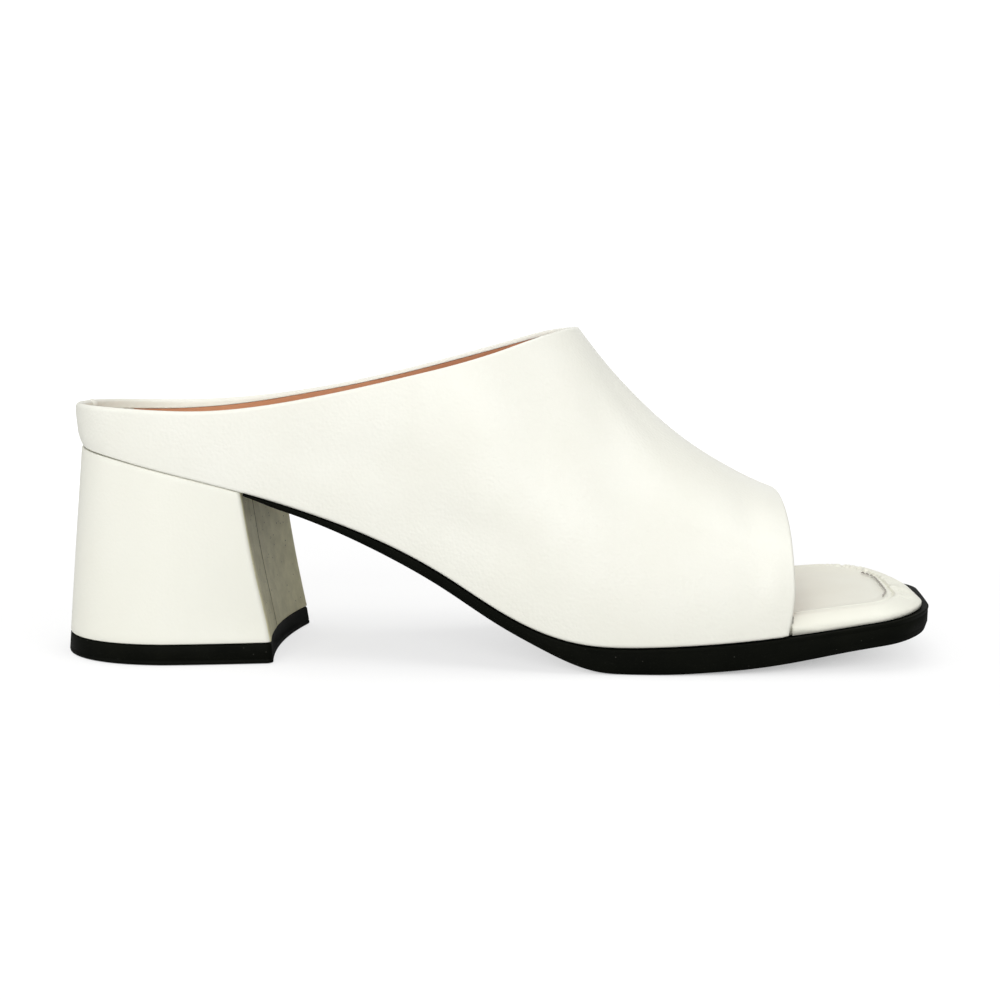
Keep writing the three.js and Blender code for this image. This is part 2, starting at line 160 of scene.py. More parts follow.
seam_height = spline(FOOT, "seam")
lateral_width, medial_width = spline(FOOT, "lateral"), spline(FOOT, "medial")
tread_height = spline(TREAD, "tread")
ridge_height, wall_rise = spline(INSTEP, "ridge"), spline(INSTEP, "rise")
wall_crown, wall_bulge = spline(INSTEP, "crown"), spline(INSTEP, "bulge")
collar_height, collar_step = spline(COLLAR, "collar"), spline(COLLAR, "step")
insole_thickness, insole_cant = spline(PADDING, "thickness"), spline(PADDING, "cant")
counter_back = spline(COUNTER, "back", "up")
heel_back, heel_width = spline(HEEL, "back", "up"), spline(HEEL, "width", "up")
heel_corner_x, heel_corner = spline(HEEL, "cornerX", "up"), spline(HEEL, "corner", "up")


def half_width(x, side):
    """Half width of the foot at the seam, for side -1 (lateral) or 1 (medial)."""
    return np.where(np.asarray(side) < 0, lateral_width(x), medial_width(x))


print("foot at the ball: %.1f mm wide" % (lateral_width(170) + medial_width(170)))

# %% [markdown]
# ## The camera
# A product shot from the outer side: a 50 mm lens about 0.4 m away, a little above the floor and
# turned slightly back towards the heel. It comes first, because every later look is judged in it.

# %% Camera
CAMERA_PLACE = (149.6, -407.3, 94.4)
CAMERA_YAW, CAMERA_PITCH = math.radians(3.36), math.radians(7.09)
camera_data = bpy.data.cameras.new("product_camera")
camera_data.lens, camera_data.sensor_width = 50.0, 36.0
camera_data.clip_start, camera_data.clip_end = 0.01, 30.0
camera = bpy.data.objects.new("product_camera", camera_data)
camera.location = to_scene(CAMERA_PLACE)
camera.rotation_euler = (math.pi / 2 - CAMERA_PITCH, 0, CAMERA_YAW)
bpy.context.scene.collection.objects.link(camera)
bpy.context.scene.camera = camera
print("camera at", [round(c, 3) for c in camera.location])

# %% [markdown]
# ## The skin of the upper
# The leather is one sheet pulled over the last, so the natural net to lay on it starts at the
# collar, like spokes from a hub: round the heel and along the sides each spoke runs straight
# down to the seam, and at the instep the spokes fan out to the toe opening. A net like this has
# rows that follow the collar and the toe edge, which is what the folded edges need.

# %% The last's surface


def last_point(x, across):
    """Point of the last in section x. across: -1 lateral seam, 0 ridge, 1 medial seam."""
    x, across = np.broadcast_arrays(np.asarray(x, float), np.asarray(across, float))
    side = np.where(across < 0, -1.0, 1.0)
    v = 1 - np.abs(across)
    seam, ridge, width = seam_height(x), ridge_height(x), half_width(x, side)
    wall = seam + wall_rise(x) * (ridge - seam)
    weight = ((1 - v) ** 3, 3 * v * (1 - v) ** 2, 3 * v * v * (1 - v), v ** 3)
    y = (side * width * weight[0] + side * (width + wall_bulge(x)) * weight[1]
         + (RIDGE_SIDE + side * wall_crown(x) * width) * weight[2] + RIDGE_SIDE * weight[3])
    z = seam * weight[0] + wall * weight[1] + ridge * (weight[2] + weight[3])
    return np.stack([x, y, z], -1)


def collar_line(x, side):
    """Height of the collar, which runs a little higher on the medial side."""
    return collar_height(x) + np.where(np.asarray(side) > 0, collar_step(x), 0)


HALVINGS = 40  # steps of the search for the collar


def collar_cut(x, side):
    """How far up section x the collar cuts it, from 0 at the seam to 1 at the ridge."""
    x = np.asarray(x, float)
    low, high = np.zeros_like(x), np.ones_like(x)
    for _ in range(HALVINGS):
        v = (low + high) / 2
        below = last_point(x, side * (1 - v))[..., 2] < collar_line(x, side)
        low, high = np.where(below, v, low), np.where(below, high, v)
    return np.where(x >= COLLAR_PEAK, 1.0, low)


def heel_round(angle, back, width):
    """Superellipse round the heel: 0 is the middle of the back, 90 degrees the side."""
    power = 2 / HEEL_ROUNDNESS
    c, s = np.maximum(np.cos(angle), 0), np.maximum(np.sin(angle), 0)
    return HEEL_CENTRE - (HEEL_CENTRE - back) * c ** power, width * s ** power


# %% Spokes from the collar to the outer edge
FINE = 160  # samples along a spoke before it is spaced by length
FAN_FROM = 112.0  # the fan over the instep starts at this section
HEEL_SPOKES, SIDE_SPOKES, FAN_SPOKES = 44, 54, 90


def heel_spoke(angle, side, down):
    """Spoke on the round of the heel, at an angle from the middle of the back."""
    top = float(collar_cut(HEEL_CENTRE, side))
    section = last_point(HEEL_CENTRE, side * (1 - (1 - down) * top))
    foot, rim = float(seam_height(HEEL_CENTRE)), float(section[0, 2])
    up = (section[:, 2] - foot) / (rim - foot)
    x, y = heel_round(angle, counter_back(up), np.abs(section[:, 1]))
    z = seam_height(x) + (collar_line(x, side) - seam_height(x)) * up
    return np.stack([x, side * y, z], -1)


def side_spoke(x, side, down):
    """Spoke on the long side, straight down section x."""
    top = float(collar_cut(x, side))
    return last_point(x, side * (1 - (1 - down) * top))


FOOT_BACK = 2.0  # the toe edge draws back this much where it goes down to the sole
FOOT_SHARE = 0.2  # share of the toe edge, from the sole up, over which it does so
SEAM_SAMPLES, TOE_EDGE_SAMPLES = 80, 60


def outer_edge(side):
    """Seam and toe edge from FAN_FROM to the ridge, as section and place across it."""
    seam_x = np.linspace(FAN_FROM, VAMP_FRONT - FOOT_BACK, SEAM_SAMPLES)
    v = np.linspace(0, 1, TOE_EDGE_SAMPLES)[1:]
    drawn_back = FOOT_BACK * np.clip(1 - v / FOOT_SHARE, 0, 1) ** 2
    x = np.concatenate([seam_x, VAMP_FRONT - VAMP_SWEEP * v * v - drawn_back])
    across = np.concatenate([-np.ones(SEAM_SAMPLES), v - 1])
    points = last_point(x, side * np.abs(across))
    length = run_length(points)
    return x, side * np.abs(across), length


EDGES = {side: outer_edge(side) for side in (-1, 1)}


FAN_EVEN, FAN_GROWING = 0.72, 0.28  # share of the fan's spread that is even, and that grows


def fan_spoke(share, side, down):
    """Spoke of the fan over the instep: share is 0 at its back and 1 on the ridge."""
    x_top = FAN_FROM + (COLLAR_PEAK - FAN_FROM) * math.sin(share * math.pi / 2)
    across_top = side * (1 - float(collar_cut(x_top, side)))
    edge_x, edge_across, length = EDGES[side]
    at = length[-1] * (FAN_EVEN * share + FAN_GROWING * share ** 2)
    x_end, across_end = np.interp(at, length, edge_x), np.interp(at, length, edge_across)
    return last_point(x_top + (x_end - x_top) * down, across_top + (across_end - across_top) * down)


def spokes():
    """All spokes in order: back of the heel, lateral side, ridge, medial side, back again."""
    down = np.linspace(0, 1, FINE)
    lists = {}
    for side in (-1, 1):
        angles = np.linspace(0, math.pi / 2, HEEL_SPOKES + 1)[:-1]
        sections = np.linspace(HEEL_CENTRE, FAN_FROM, SIDE_SPOKES + 1)[:-1]
        fan = np.linspace(0, 1, FAN_SPOKES + 1)
        lists[side] = ([heel_spoke(a, side, down) for a in angles]
                       + [side_spoke(x, side, down) for x in sections]
                       + [fan_spoke(s, side, down) for s in fan])
    return np.array(lists[-1] + lists[1][-2:0:-1])


spoke_lines = spokes()
print("spokes:", spoke_lines.shape[0])

# %% [markdown]
# ## Spacing the net
# Near a folded edge the rows lie a few tenths of a millimetre apart, so that the fold is round.
# In the middle of the sheet they lie wider. Where a spoke ends on the sole there is no fold: the
# leather only tucks under, so those spokes run right to the seam.

# %% Rings along the spokes
FOLD = 1.0  # radius of a folded edge: half the wall
TURN_IN = 4  # rings that the turned-in leather covers on the inside
FACING_SHARE = np.array([0, 0.25, 0.5, 0.75, 1.0])
PAST_FACING = np.array([0.15, 0.6, 1.4, 2.6])
MIDDLE_RINGS = 56
RINGS = 2 * (len(FACING_SHARE) + len(PAST_FACING)) + MIDDLE_RINGS
TOE_FACING = 1.0
# How far the turned-in leather reaches below the fold: deep round the heel, narrow along the foot.
FACING = table("x band", [(0, 2.2), (20, 1.8), (36, 1.3), (46, 0.9), (58, 0.4), (66, 0.2), (148, 0.2)])


FOLD_STARTS = (0.2, 3.5)  # heights above the seam between which the toe's fold comes in


def toe_edge_share():
    """1 for spokes that end on the toe opening, 0 for spokes that end on the sole."""
    end = spoke_lines[:, -1]
    above = end[:, 2] - seam_height(end[:, 0])
    return smoothstep(above, *FOLD_STARTS)


def near_rings(band):
    """Distances from a fold of the rings on the turned-in band and just past it."""
    return np.concatenate([FACING_SHARE * band, band + PAST_FACING])


def ring_net(lines, at_toe):
    """Points of the net: ring 0 at the collar, the last ring at the seam or the toe edge."""
    net = np.zeros((len(lines), RINGS, 3))
    for i, line in enumerate(lines):
        length = run_length(line)
        start, end = FOLD, length[-1] - FOLD * at_toe[i]
        collar_near = near_rings(np.interp(line[0, 0], FACING["x"], FACING["band"]))
        toe_near = near_rings(TOE_FACING)
        middle = np.linspace(start + collar_near[-1], end - toe_near[-1], MIDDLE_RINGS + 2)[1:-1]
        at = np.concatenate([start + collar_near, middle, (end - toe_near)[::-1]])
        for axis in range(3):
            net[i, :, axis] = np.interp(at, length, line[:, axis])
    return net


def net_normals(net):
    """Outward normals of a net that closes on itself round the foot."""
    around = np.roll(net, -1, 0) - np.roll(net, 1, 0)
    along = np.gradient(net, axis=1)
    normal = np.cross(along, around)
    return normal / np.linalg.norm(normal, axis=2, keepdims=True)


at_toe = toe_edge_share()
net = ring_net(spoke_lines, at_toe)
normals = net_normals(net)
outward = normals[len(net) // 4, RINGS // 2, 1]
if outward > 0:
    normals = -normals
print("net:", net.shape, "normal of the lateral side points to y", round(float(-abs(outward)), 2))

# %% [markdown]
# ## Creases
# Soft leather that has been pulled over a last and stands empty keeps a few broad, shallow
# waves: one across the vamp behind the toe edge, some fanning from the side of the instep, and
# a slack belly on the long side panel. Each is placed as a line through the shoe, and
# lowers or lifts the skin by a fraction of a millimetre with soft shoulders. A cloth simulation
# would wrinkle this stiff, lined sheet far too much.

# %% Troughs and ridges


def distance_to(points, line):
    """Distance from points to a polyline, and the share of its length where they are nearest."""
    line = np.asarray(line, float)
    lengths = run_length(line)
    best = np.full(points.shape[:-1], 1e9)
    share = np.zeros(points.shape[:-1])
    for i, (a, b) in enumerate(zip(line[:-1], line[1:])):
        run = b - a
        t = np.clip(((points - a) @ run) / (run @ run), 0, 1)
        gap = np.linalg.norm(points - (a + t[..., None] * run), axis=-1)
        nearer = gap < best
        best = np.where(nearer, gap, best)
        share = np.where(nearer, (lengths[i] + t * (lengths[i + 1] - lengths[i])) / lengths[-1], share)
    return best, share


# Each crease: its line (x, y, z), its height (below zero a trough) and its half width.
CREASES = [
    ([(200, -33, 24), (197, -26, 38), (195, -8, 49)], -0.60, 5.0),
    ([(203, -33, 16), (203, -32, 24), (201, -25, 37)], 0.40, 3.5),
    ([(150, -18, 84), (158, -22, 66), (168, -28, 48)], -0.50, 6.0),
    ([(154, -4, 85), (164, -8, 72), (178, -14, 58)], -0.45, 5.0),
    ([(140, -24, 74), (150, -30, 54), (158, -35, 34)], 0.40, 7.0),
    ([(100, -30, 46), (122, -33, 38), (140, -36, 30)], -0.50, 7.0),
    ([(60, -30, 62), (90, -30, 58), (116, -31, 54)], -0.35, 8.0),
    ([(176, -30, 40), (188, -31, 36), (199, -32, 33)], -0.35, 4.0),
    ([(196, 43, 22), (197, 38, 36), (195, 20, 48)], -0.60, 5.0),
    ([(150, 28, 78), (160, 36, 56), (170, 42, 34)], -0.50, 6.0),
    ([(98, 28, 46), (118, 31, 40), (138, 37, 30)], -0.50, 7.0),
]


CREASE_END = 0.05  # how far into its taper a crease starts and ends


def creases(points):
    """Height that the creases add to the skin."""
    height = np.zeros(points.shape[:-1])
    for line, depth, width in CREASES:
        gap, share = distance_to(points, line)
        taper = np.sin(np.pi * np.clip(share * (1 - 2 * CREASE_END) + CREASE_END, 0, 1))
        height += depth * np.exp(-(gap / width) ** 2) * taper
    return height


TUCK = 1.1  # the leather rounds in over this height where it goes under at the sole
HEEL_TUCK = 0.75  # the same over the heel
TUCK_DEPTH = 0.8  # depth of that round, as a share of its height
above_sole = net[..., 2] - seam_height(net[..., 0])
tuck_size = HEEL_TUCK + (TUCK - HEEL_TUCK) * smoothstep(net[..., 0], 48, 66)
into_tuck = np.clip(1 - above_sole / tuck_size, 0, 1) * (1 - at_toe[:, None])
tuck = tuck_size * TUCK_DEPTH * (1 - np.sqrt(1 - into_tuck ** 2))
skin = net + normals * (creases(net) - tuck)[..., None]
print("deepest crease %.2f mm" % float(-creases(net).min()))

# %% [markdown]
# ## Closed shells from the net
# Real leather has thickness, so each layer is a closed body: its outer face, its inner face,
# a fold or a plain cut along both edges. One function makes them all, and it is told
# how deep under the skin each face lies.

# %% Shell builder
FOLD_STEPS = 6


def add_piece(name, points, faces, material):
    """A mesh piece that rides on the shoe, with smooth shading."""
    mesh = bpy.data.meshes.new(name)
    mesh.from_pydata(to_scene(points).tolist(), [], faces)
    mesh.validate()
    mesh.update()
    mesh.shade_smooth()
    mesh.materials.append(material)
    piece = bpy.data.objects.new(name, mesh)
    bpy.context.scene.collection.objects.link(piece)
    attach(piece, "root")
    print("%s: %d faces" % (name, len(faces)))
    return piece


def grid_faces(columns, rows, closed, offset=0, flip=False):
    """Quads between the points of a grid, round and round if closed."""
    faces = []
    for i in range(columns if closed else columns - 1):
        j = (i + 1) % columns
        for r in range(rows - 1):
            quad = (i * rows + r, j * rows + r, j * rows + r + 1, i * rows + r + 1)
            quad = tuple(offset + k for k in quad)
            faces.append(quad[::-1] if flip else quad)
    return faces


def edge_strip(outer, inner, away, roundness, steps):
    """Points that round an edge from the outer face to the inner one."""
    middle, arm = (outer + inner) / 2, (outer - inner) / 2
    reach = np.linalg.norm(arm, axis=-1, keepdims=True) * roundness[:, None]
    strip = []
    for k in range(1, steps):
        turn = math.pi * k / steps
        strip.append(middle + arm * math.cos(turn) + away * reach * math.sin(turn))
    return strip


def unit(v):
    """Vectors of length 1 in the same directions."""
    return v / np.maximum(np.linalg.norm(v, axis=-1, keepdims=True), 1e-9)


def shell(rings, outer_depth, inner_depth, spokes_used=None, collar_round=0.0, toe_round=0.0):
    """Closed shell between two depths under the skin, over a range of rings and spokes."""
    first, last = rings
    keep = np.arange(len(skin)) if spokes_used is None else np.asarray(spokes_used)
    closed = spokes_used is None
    cut, normal = skin[keep, first:last], normals[keep, first:last]
    outer = cut - normal * outer_depth[first:last, None]
    inner = cut - normal * inner_depth[first:last, None]
    at_end = at_toe[keep]
    away_top, away_end = unit(cut[:, 0] - cut[:, 1]), unit(cut[:, -1] - cut[:, -2])
    top = edge_strip(inner[:, 0], outer[:, 0], away_top, np.full(len(keep), collar_round), FOLD_STEPS)
    end = edge_strip(outer[:, -1], inner[:, -1], away_end, toe_round * at_end, FOLD_STEPS)
    loop = [outer[:, r] for r in range(outer.shape[1])] + end
    loop += [inner[:, r] for r in range(inner.shape[1] - 1, -1, -1)] + top
    body = np.stack(loop, 1)
    rows = body.shape[1]
    count = len(keep)
    faces = []
    for i in range(count if closed else count - 1):
        j = (i + 1) % count
        for r in range(rows):
            s = (r + 1) % rows
            faces.append((i * rows + r, i * rows + s, j * rows + s, j * rows + r))
    if not closed:
        faces.append(tuple(range(rows))[::-1])
        faces.append(tuple((count - 1) * rows + r for r in range(rows)))
    return body.reshape(-1, 3), faces


# %% [markdown]
# ## Finishes as node groups
# Smooth nappa is off-white with a grain of tiny pebbles and pores, and it is never quite the same
# shade twice. Grain, clouding and specks are used by several materials, so each is a node
# group with named sockets. The Principled shader itself stays in every material.

# %% Node group helpers


def new_group(name, inputs, outputs):
    """An empty shader node group with named sockets."""
    group = bpy.data.node_groups.new(name, "ShaderNodeTree")
    for label, kind, default in inputs:
        socket = group.interface.new_socket(name=label, in_out="INPUT", socket_type=kind)
        socket.default_value = default
    for label, kind in outputs:
        group.interface.new_socket(name=label, in_out="OUTPUT", socket_type=kind)
    return group, group.nodes.new("NodeGroupInput"), group.nodes.new("NodeGroupOutput")


def math_node(nodes, links, operation, a, b):
    """A Math node. a and b are numbers or sockets."""
    node = nodes.new("ShaderNodeMath")
    node.operation = operation
    for socket, value in zip(node.inputs, (a, b)):
        if isinstance(value, (int, float)):
            socket.default_value = value
        else:
            links.new(value, socket)
    return node.outputs[0]


def group_node(nodes, links, group, place, values):
    """A node group set in a material, with its coordinates linked and its own values."""
    node = nodes.new("ShaderNodeGroup")
    node.node_tree = group
    for label, value in values.items():
        node.inputs[label].default_value = value
    links.new(place, node.inputs["Position"])
    return node


FLOAT, COLOR, VECTOR = "NodeSocketFloat", "NodeSocketColor", "NodeSocketVector"

# %% Leather grain group


def make_grain_group():
    """Pebbles and pores. Coordinates are metres; cell size is given in millimetres."""
    group, given, out = new_group(
        "leather_grain",
        [("Position", VECTOR, (0, 0, 0)), ("Cell Size", FLOAT, 0.9), ("Pore Share", FLOAT, 0.3)],
        [("Height", FLOAT)])
    nodes, links = group.nodes, group.links
    scale = math_node(nodes, links, "DIVIDE", 1000.0, given.outputs["Cell Size"])
    warp = nodes.new("ShaderNodeTexNoise")
    warp.inputs["Scale"].default_value = 700.0
    warp.inputs["Detail"].default_value = 2.0
    links.new(given.outputs["Position"], warp.inputs["Vector"])
    pebble = nodes.new("ShaderNodeTexVoronoi")
    pebble.feature = "SMOOTH_F1"
    pebble.inputs["Smoothness"].default_value = 0.6
    links.new(given.outputs["Position"], pebble.inputs["Vector"])
    links.new(scale, pebble.inputs["Scale"])
    pore = nodes.new("ShaderNodeTexNoise")
    pore.inputs["Detail"].default_value = 3.0
    pore.inputs["Roughness"].default_value = 0.6
    links.new(given.outputs["Position"], pore.inputs["Vector"])
    links.new(math_node(nodes, links, "MULTIPLY", scale, 2.6), pore.inputs["Scale"])
    bump = math_node(nodes, links, "MULTIPLY", pebble.outputs["Distance"], 0.7)
    fine = math_node(nodes, links, "MULTIPLY", pore.outputs["Fac"], given.outputs["Pore Share"])
    soft = math_node(nodes, links, "MULTIPLY", warp.outputs["Fac"], 0.35)
    total = math_node(nodes, links, "ADD", math_node(nodes, links, "ADD", bump, fine), soft)
    links.new(total, out.inputs["Height"])
    return group


grain_group = make_grain_group()

# %% Clouding group


def make_cloud_group():
    """Mixes two close shades in soft clouds, with a finer mottling in them."""
    group, given, out = new_group(
        "shade_clouds",
        [("Position", VECTOR, (0, 0, 0)), ("Light", COLOR, (1, 1, 1, 1)),
         ("Dark", COLOR, (0.8, 0.8, 0.8, 1)), ("Cloud Size", FLOAT, 30.0)],
        [("Color", COLOR), ("Mask", FLOAT)])
    nodes, links = group.nodes, group.links
    cloud = nodes.new("ShaderNodeTexNoise")
    cloud.inputs["Detail"].default_value = 4.0
    cloud.inputs["Roughness"].default_value = 0.55
    links.new(given.outputs["Position"], cloud.inputs["Vector"])
    links.new(math_node(nodes, links, "DIVIDE", 1000.0, given.outputs["Cloud Size"]),
              cloud.inputs["Scale"])
    ramp = nodes.new("ShaderNodeMapRange")
    ramp.inputs["From Min"].default_value, ramp.inputs["From Max"].default_value = 0.32, 0.72
    links.new(cloud.outputs["Fac"], ramp.inputs["Value"])
    mix = nodes.new("ShaderNodeMix")
    mix.data_type = "RGBA"
    links.new(ramp.outputs["Result"], mix.inputs["Factor"])
    links.new(given.outputs["Light"], mix.inputs["A"])
    links.new(given.outputs["Dark"], mix.inputs["B"])
    links.new(mix.outputs["Result"], out.inputs["Color"])
    links.new(ramp.outputs["Result"], out.inputs["Mask"])
    return group


cloud_group = make_cloud_group()

# %% Speck group


def make_speck_group():
    """Mask of tiny scattered specks: one in some of the cells, each a share of the cell wide."""
    group, given, out = new_group(
        "fine_specks",
        [("Position", VECTOR, (0, 0, 0)), ("Cell Size", FLOAT, 2.0), ("Reach", FLOAT, 0.1)],
        [("Mask", FLOAT)])
    nodes, links = group.nodes, group.links
    cells = nodes.new("ShaderNodeTexVoronoi")
    links.new(given.outputs["Position"], cells.inputs["Vector"])
    links.new(math_node(nodes, links, "DIVIDE", 1000.0, given.outputs["Cell Size"]), cells.inputs["Scale"])
    inside = math_node(nodes, links, "LESS_THAN", cells.outputs["Distance"], given.outputs["Reach"])
    tint = nodes.new("ShaderNodeSeparateColor")
    links.new(cells.outputs["Color"], tint.inputs["Color"])
    chosen = math_node(nodes, links, "GREATER_THAN", tint.outputs["Red"], 0.4)
    links.new(math_node(nodes, links, "MULTIPLY", inside, chosen), out.inputs["Mask"])
    return group


speck_group = make_speck_group()

# %% [markdown]
# ## Materials
# Every finish is the same recipe with its own values: clouded colour, roughness that follows
# the clouds a little, and a bump from the grain. Values that are the same all over are typed
# straight into the shader.

# %% Material recipe


def finish(name, light, dark, roughness, grain_mm, bump_mm, cloud_mm=30.0, rough_spread=0.06,
           specular=0.45, pores=0.3, specks=None):
    """A grained finish. light and dark are linear colours; specks are colour, cell in mm, reach."""
    material = bpy.data.materials.new(name)
    material.use_nodes = True
    nodes, links = material.node_tree.nodes, material.node_tree.links
    shader = nodes["Principled BSDF"]
    shader.inputs["Specular IOR Level"].default_value = specular
    place = nodes.new("ShaderNodeTexCoord").outputs["Object"]
    clouds = group_node(nodes, links, cloud_group, place,
                        {"Light": (*light, 1), "Dark": (*dark, 1), "Cloud Size": cloud_mm})
    colour = clouds.outputs["Color"]
    if specks:
        speck_colour, cell_mm, reach = specks
        dots = group_node(nodes, links, speck_group, place, {"Cell Size": cell_mm, "Reach": reach})
        mix = nodes.new("ShaderNodeMix")
        mix.data_type = "RGBA"
        links.new(dots.outputs["Mask"], mix.inputs["Factor"])
        links.new(colour, mix.inputs["A"])
        mix.inputs["B"].default_value = (*speck_colour, 1)
        colour = mix.outputs["Result"]
    links.new(colour, shader.inputs["Base Color"])
    rough = nodes.new("ShaderNodeMapRange")
    rough.inputs["To Min"].default_value = roughness - rough_spread
    rough.inputs["To Max"].default_value = roughness + rough_spread
    links.new(clouds.outputs["Mask"], rough.inputs["Value"])
    links.new(rough.outputs["Result"], shader.inputs["Roughness"])
    grain = group_node(nodes, links, grain_group, place, {"Cell Size": grain_mm, "Pore Share": pores})
    bump = nodes.new("ShaderNodeBump")
    bump.inputs["Strength"].default_value = 1.0
    bump.inputs["Distance"].default_value = bump_mm * MM
    links.new(grain.outputs["Height"], bump.inputs["Height"])
    links.new(bump.outputs["Normal"], shader.inputs["Normal"])
    return material


white_leather = finish("white_leather", (0.865, 0.862, 0.785), (0.835, 0.83, 0.745), 0.4, 0.9, 0.08)
heel_leather = finish("heel_leather", (0.865, 0.862, 0.775), (0.85, 0.845, 0.75), 0.4, 0.8, 0.04)
insole_leather = finish("insole_leather", (0.84, 0.84, 0.745), (0.81, 0.80, 0.70), 0.5, 0.8, 0.05)
tan_lining = finish("tan_lining", (0.56, 0.25, 0.125), (0.47, 0.19, 0.09), 0.6, 0.6, 0.05)
grip_suede = finish("grip_suede", (0.76, 0.73, 0.63), (0.68, 0.65, 0.55), 0.85, 0.5, 0.06)
black_rubber = finish("black_rubber", (0.005, 0.0055, 0.0038), (0.003, 0.0035, 0.0025), 0.55, 0.5, 0.03,
                      cloud_mm=12.0, specular=0.025, specks=((0.03, 0.03, 0.025), 2.6, 0.07))
# The heel's front is darker and warmer than the cover: partly its own olive tone with specks, partly painted
# shade, because that face looks away from the key light.
breast_tone_and_painted_shade = finish("heel_front_tone_and_painted_shade", (0.84, 0.79, 0.51), (0.64, 0.60, 0.38), 0.55, 0.8, 0.09,
                    cloud_mm=5.0, specks=((0.09, 0.08, 0.05), 1.7, 0.12))
pale_thread = finish("pale_thread", (0.80, 0.79, 0.73), (0.72, 0.71, 0.65), 0.6, 0.3, 0.03)
# Darker than the collar's thread: partly the thread's own grey, partly painted shade of the channel it lies
# in.
grey_thread_painted_shade = finish("grey_thread_painted_shade", (0.42, 0.40, 0.36), (0.33, 0.31, 0.28), 0.6, 0.3, 0.03)
# Dark colour for the groove of the heel front's seam: painted shade of the groove.
seam_groove_painted_shade = finish("seam_groove_painted_shade", (0.45, 0.41, 0.27), (0.36, 0.33, 0.21), 0.8, 0.3, 0.03)

# %% [markdown]
# ## Upper and lining
# At the collar and at the toe the leather is folded over and turned in: about two millimetres
# round the heel, one at the toe and much less along the foot. The tan lining starts under that
# turned edge. At the back a pale suede grip is glued over it, so that the heel doesn't slip.

# %% Leather of the upper
LEATHER, LINING_TOP, LINING_DEPTH = 1.0, 1.05, 1.9  # depths under the skin
leather_inner = np.full(RINGS, LEATHER)
leather_inner[:TURN_IN + 1] = 2 * FOLD
leather_inner[RINGS - TURN_IN - 1:] = 2 * FOLD
outer_zero = np.zeros(RINGS)
points, faces = shell((0, RINGS), outer_zero, leather_inner, collar_round=1.0, toe_round=1.0)
upper = add_piece("upper_leather", points, faces, white_leather)
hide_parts("upper")

# %% Lining under the turned edge
lining_rings = (TURN_IN + 1, RINGS - TURN_IN - 1)
points, faces = shell(lining_rings, np.full(RINGS, LINING_TOP), np.full(RINGS, LINING_DEPTH))
add_piece("upper_lining", points, faces, tan_lining)

# %% Heel grip
GRIP_THICKNESS, GRIP_ABOVE_SEAM = 0.45, 5.6
GRIP_TO = 8.0  # the grip covers the back as far as this station
GRIP_CLEAR = 0.02  # between grip and lining


def heel_grip():
    """Pale lining round the inside of the back."""
    half = int(np.nonzero(net[:len(net) // 2, 0, 0] > GRIP_TO)[0][0])
    used = [i % len(skin) for i in range(-half, half + 1)]
    clear = net[0, :, 2] - seam_height(net[0, :, 0]) > GRIP_ABOVE_SEAM
    rings = (TURN_IN + 1, int(np.nonzero(clear)[0].max()))
    points, faces = shell(rings, np.full(RINGS, LINING_DEPTH + GRIP_CLEAR),
                          np.full(RINGS, LINING_DEPTH + GRIP_THICKNESS), used)
    add_piece("heel_grip", points, faces, grip_suede)


heel_grip()

# %% [markdown]
# ## Back seam
# The two halves of the upper meet at the back, a little to the medial side of the middle, and a
# narrow tape covers that seam on the inside. It is a low ridge that stands on the turned edge and
# on the grip, made as a strip whose section is half an ellipse.

# %% Back seam tape
TAPE_SIDE, TAPE_HALF_WIDTH, TAPE_RISE, TAPE_STEPS = 3.2, 1.3, 0.9, 14
TAPE_SPOKES = 7  # spokes of the net that the tape lies on
TAPE_SET_IN = 0.1  # how far the tape sits in the leather
TAPE_ON_FOLD = 0.6  # share of its rise where it runs over the fold


def back_seam():
    """Tape on the inside of the back, from just under the fold down to the insole."""
    near = skin[[-k for k in range(TAPE_SPOKES)]]
    out = normals[[-k for k in range(TAPE_SPOKES)]]
    depth = np.where(np.arange(RINGS) <= TURN_IN, 2 * FOLD, LINING_DEPTH + GRIP_THICKNESS)
    inner = near - out * depth[None, :, None]
    clear = near[0, :, 2] - seam_height(near[0, :, 0]) > GRIP_ABOVE_SEAM
    used = range(int(np.nonzero(clear)[0].max()))
    arc = np.linspace(0, math.pi, TAPE_STEPS + 1)
    points = []

    def inside(ring, y):
        """Where the inner face lies on one ring, as x and z."""
        return [np.interp(y, inner[:, ring, 1], inner[:, ring, axis]) for axis in (0, 2)]

    crest = np.array([-FOLD, FOLD])  # from the first inner ring to the top of the fold
    for turn in (0.95, 0.7, 0.35):
        back, lift = crest * (1 - math.cos(turn * math.pi / 2), math.sin(turn * math.pi / 2))
        for angle in arc:
            y = TAPE_SIDE + TAPE_HALF_WIDTH * math.cos(angle)
            x, z = inside(0, y)
            swell = TAPE_RISE * TAPE_ON_FOLD * math.sin(angle)
            points.append((x - TAPE_SET_IN + back + swell * math.cos(turn * math.pi / 2), y,
                           z - TAPE_SET_IN + lift + swell * math.sin(turn * math.pi / 2)))
    for r in used:
        for angle in arc:
            y = TAPE_SIDE + TAPE_HALF_WIDTH * math.cos(angle)
            x, z = inside(r, y)
            points.append((x - TAPE_SET_IN + TAPE_RISE * math.sin(angle), y, z))
    rows = TAPE_STEPS + 1
    count = len(points) // rows
    faces = grid_faces(count, rows, False)
    for i in range(count - 1):
        faces.append((i * rows + rows - 1, (i + 1) * rows + rows - 1, (i + 1) * rows, i * rows))
    faces += [tuple(range(rows)), tuple((count - 1) * rows + k for k in reversed(range(rows)))]
    faces = [face[::-1] for face in faces]
    add_piece("back_seam_tape", np.array(points), faces, white_leather)


back_seam()

# %% [markdown]
# ## Plan of the sole
# Outsole and insole share one outline: sides from the table of the foot, and a square toe
# whose end is skewed forward on the medial side, with a wider corner radius there.

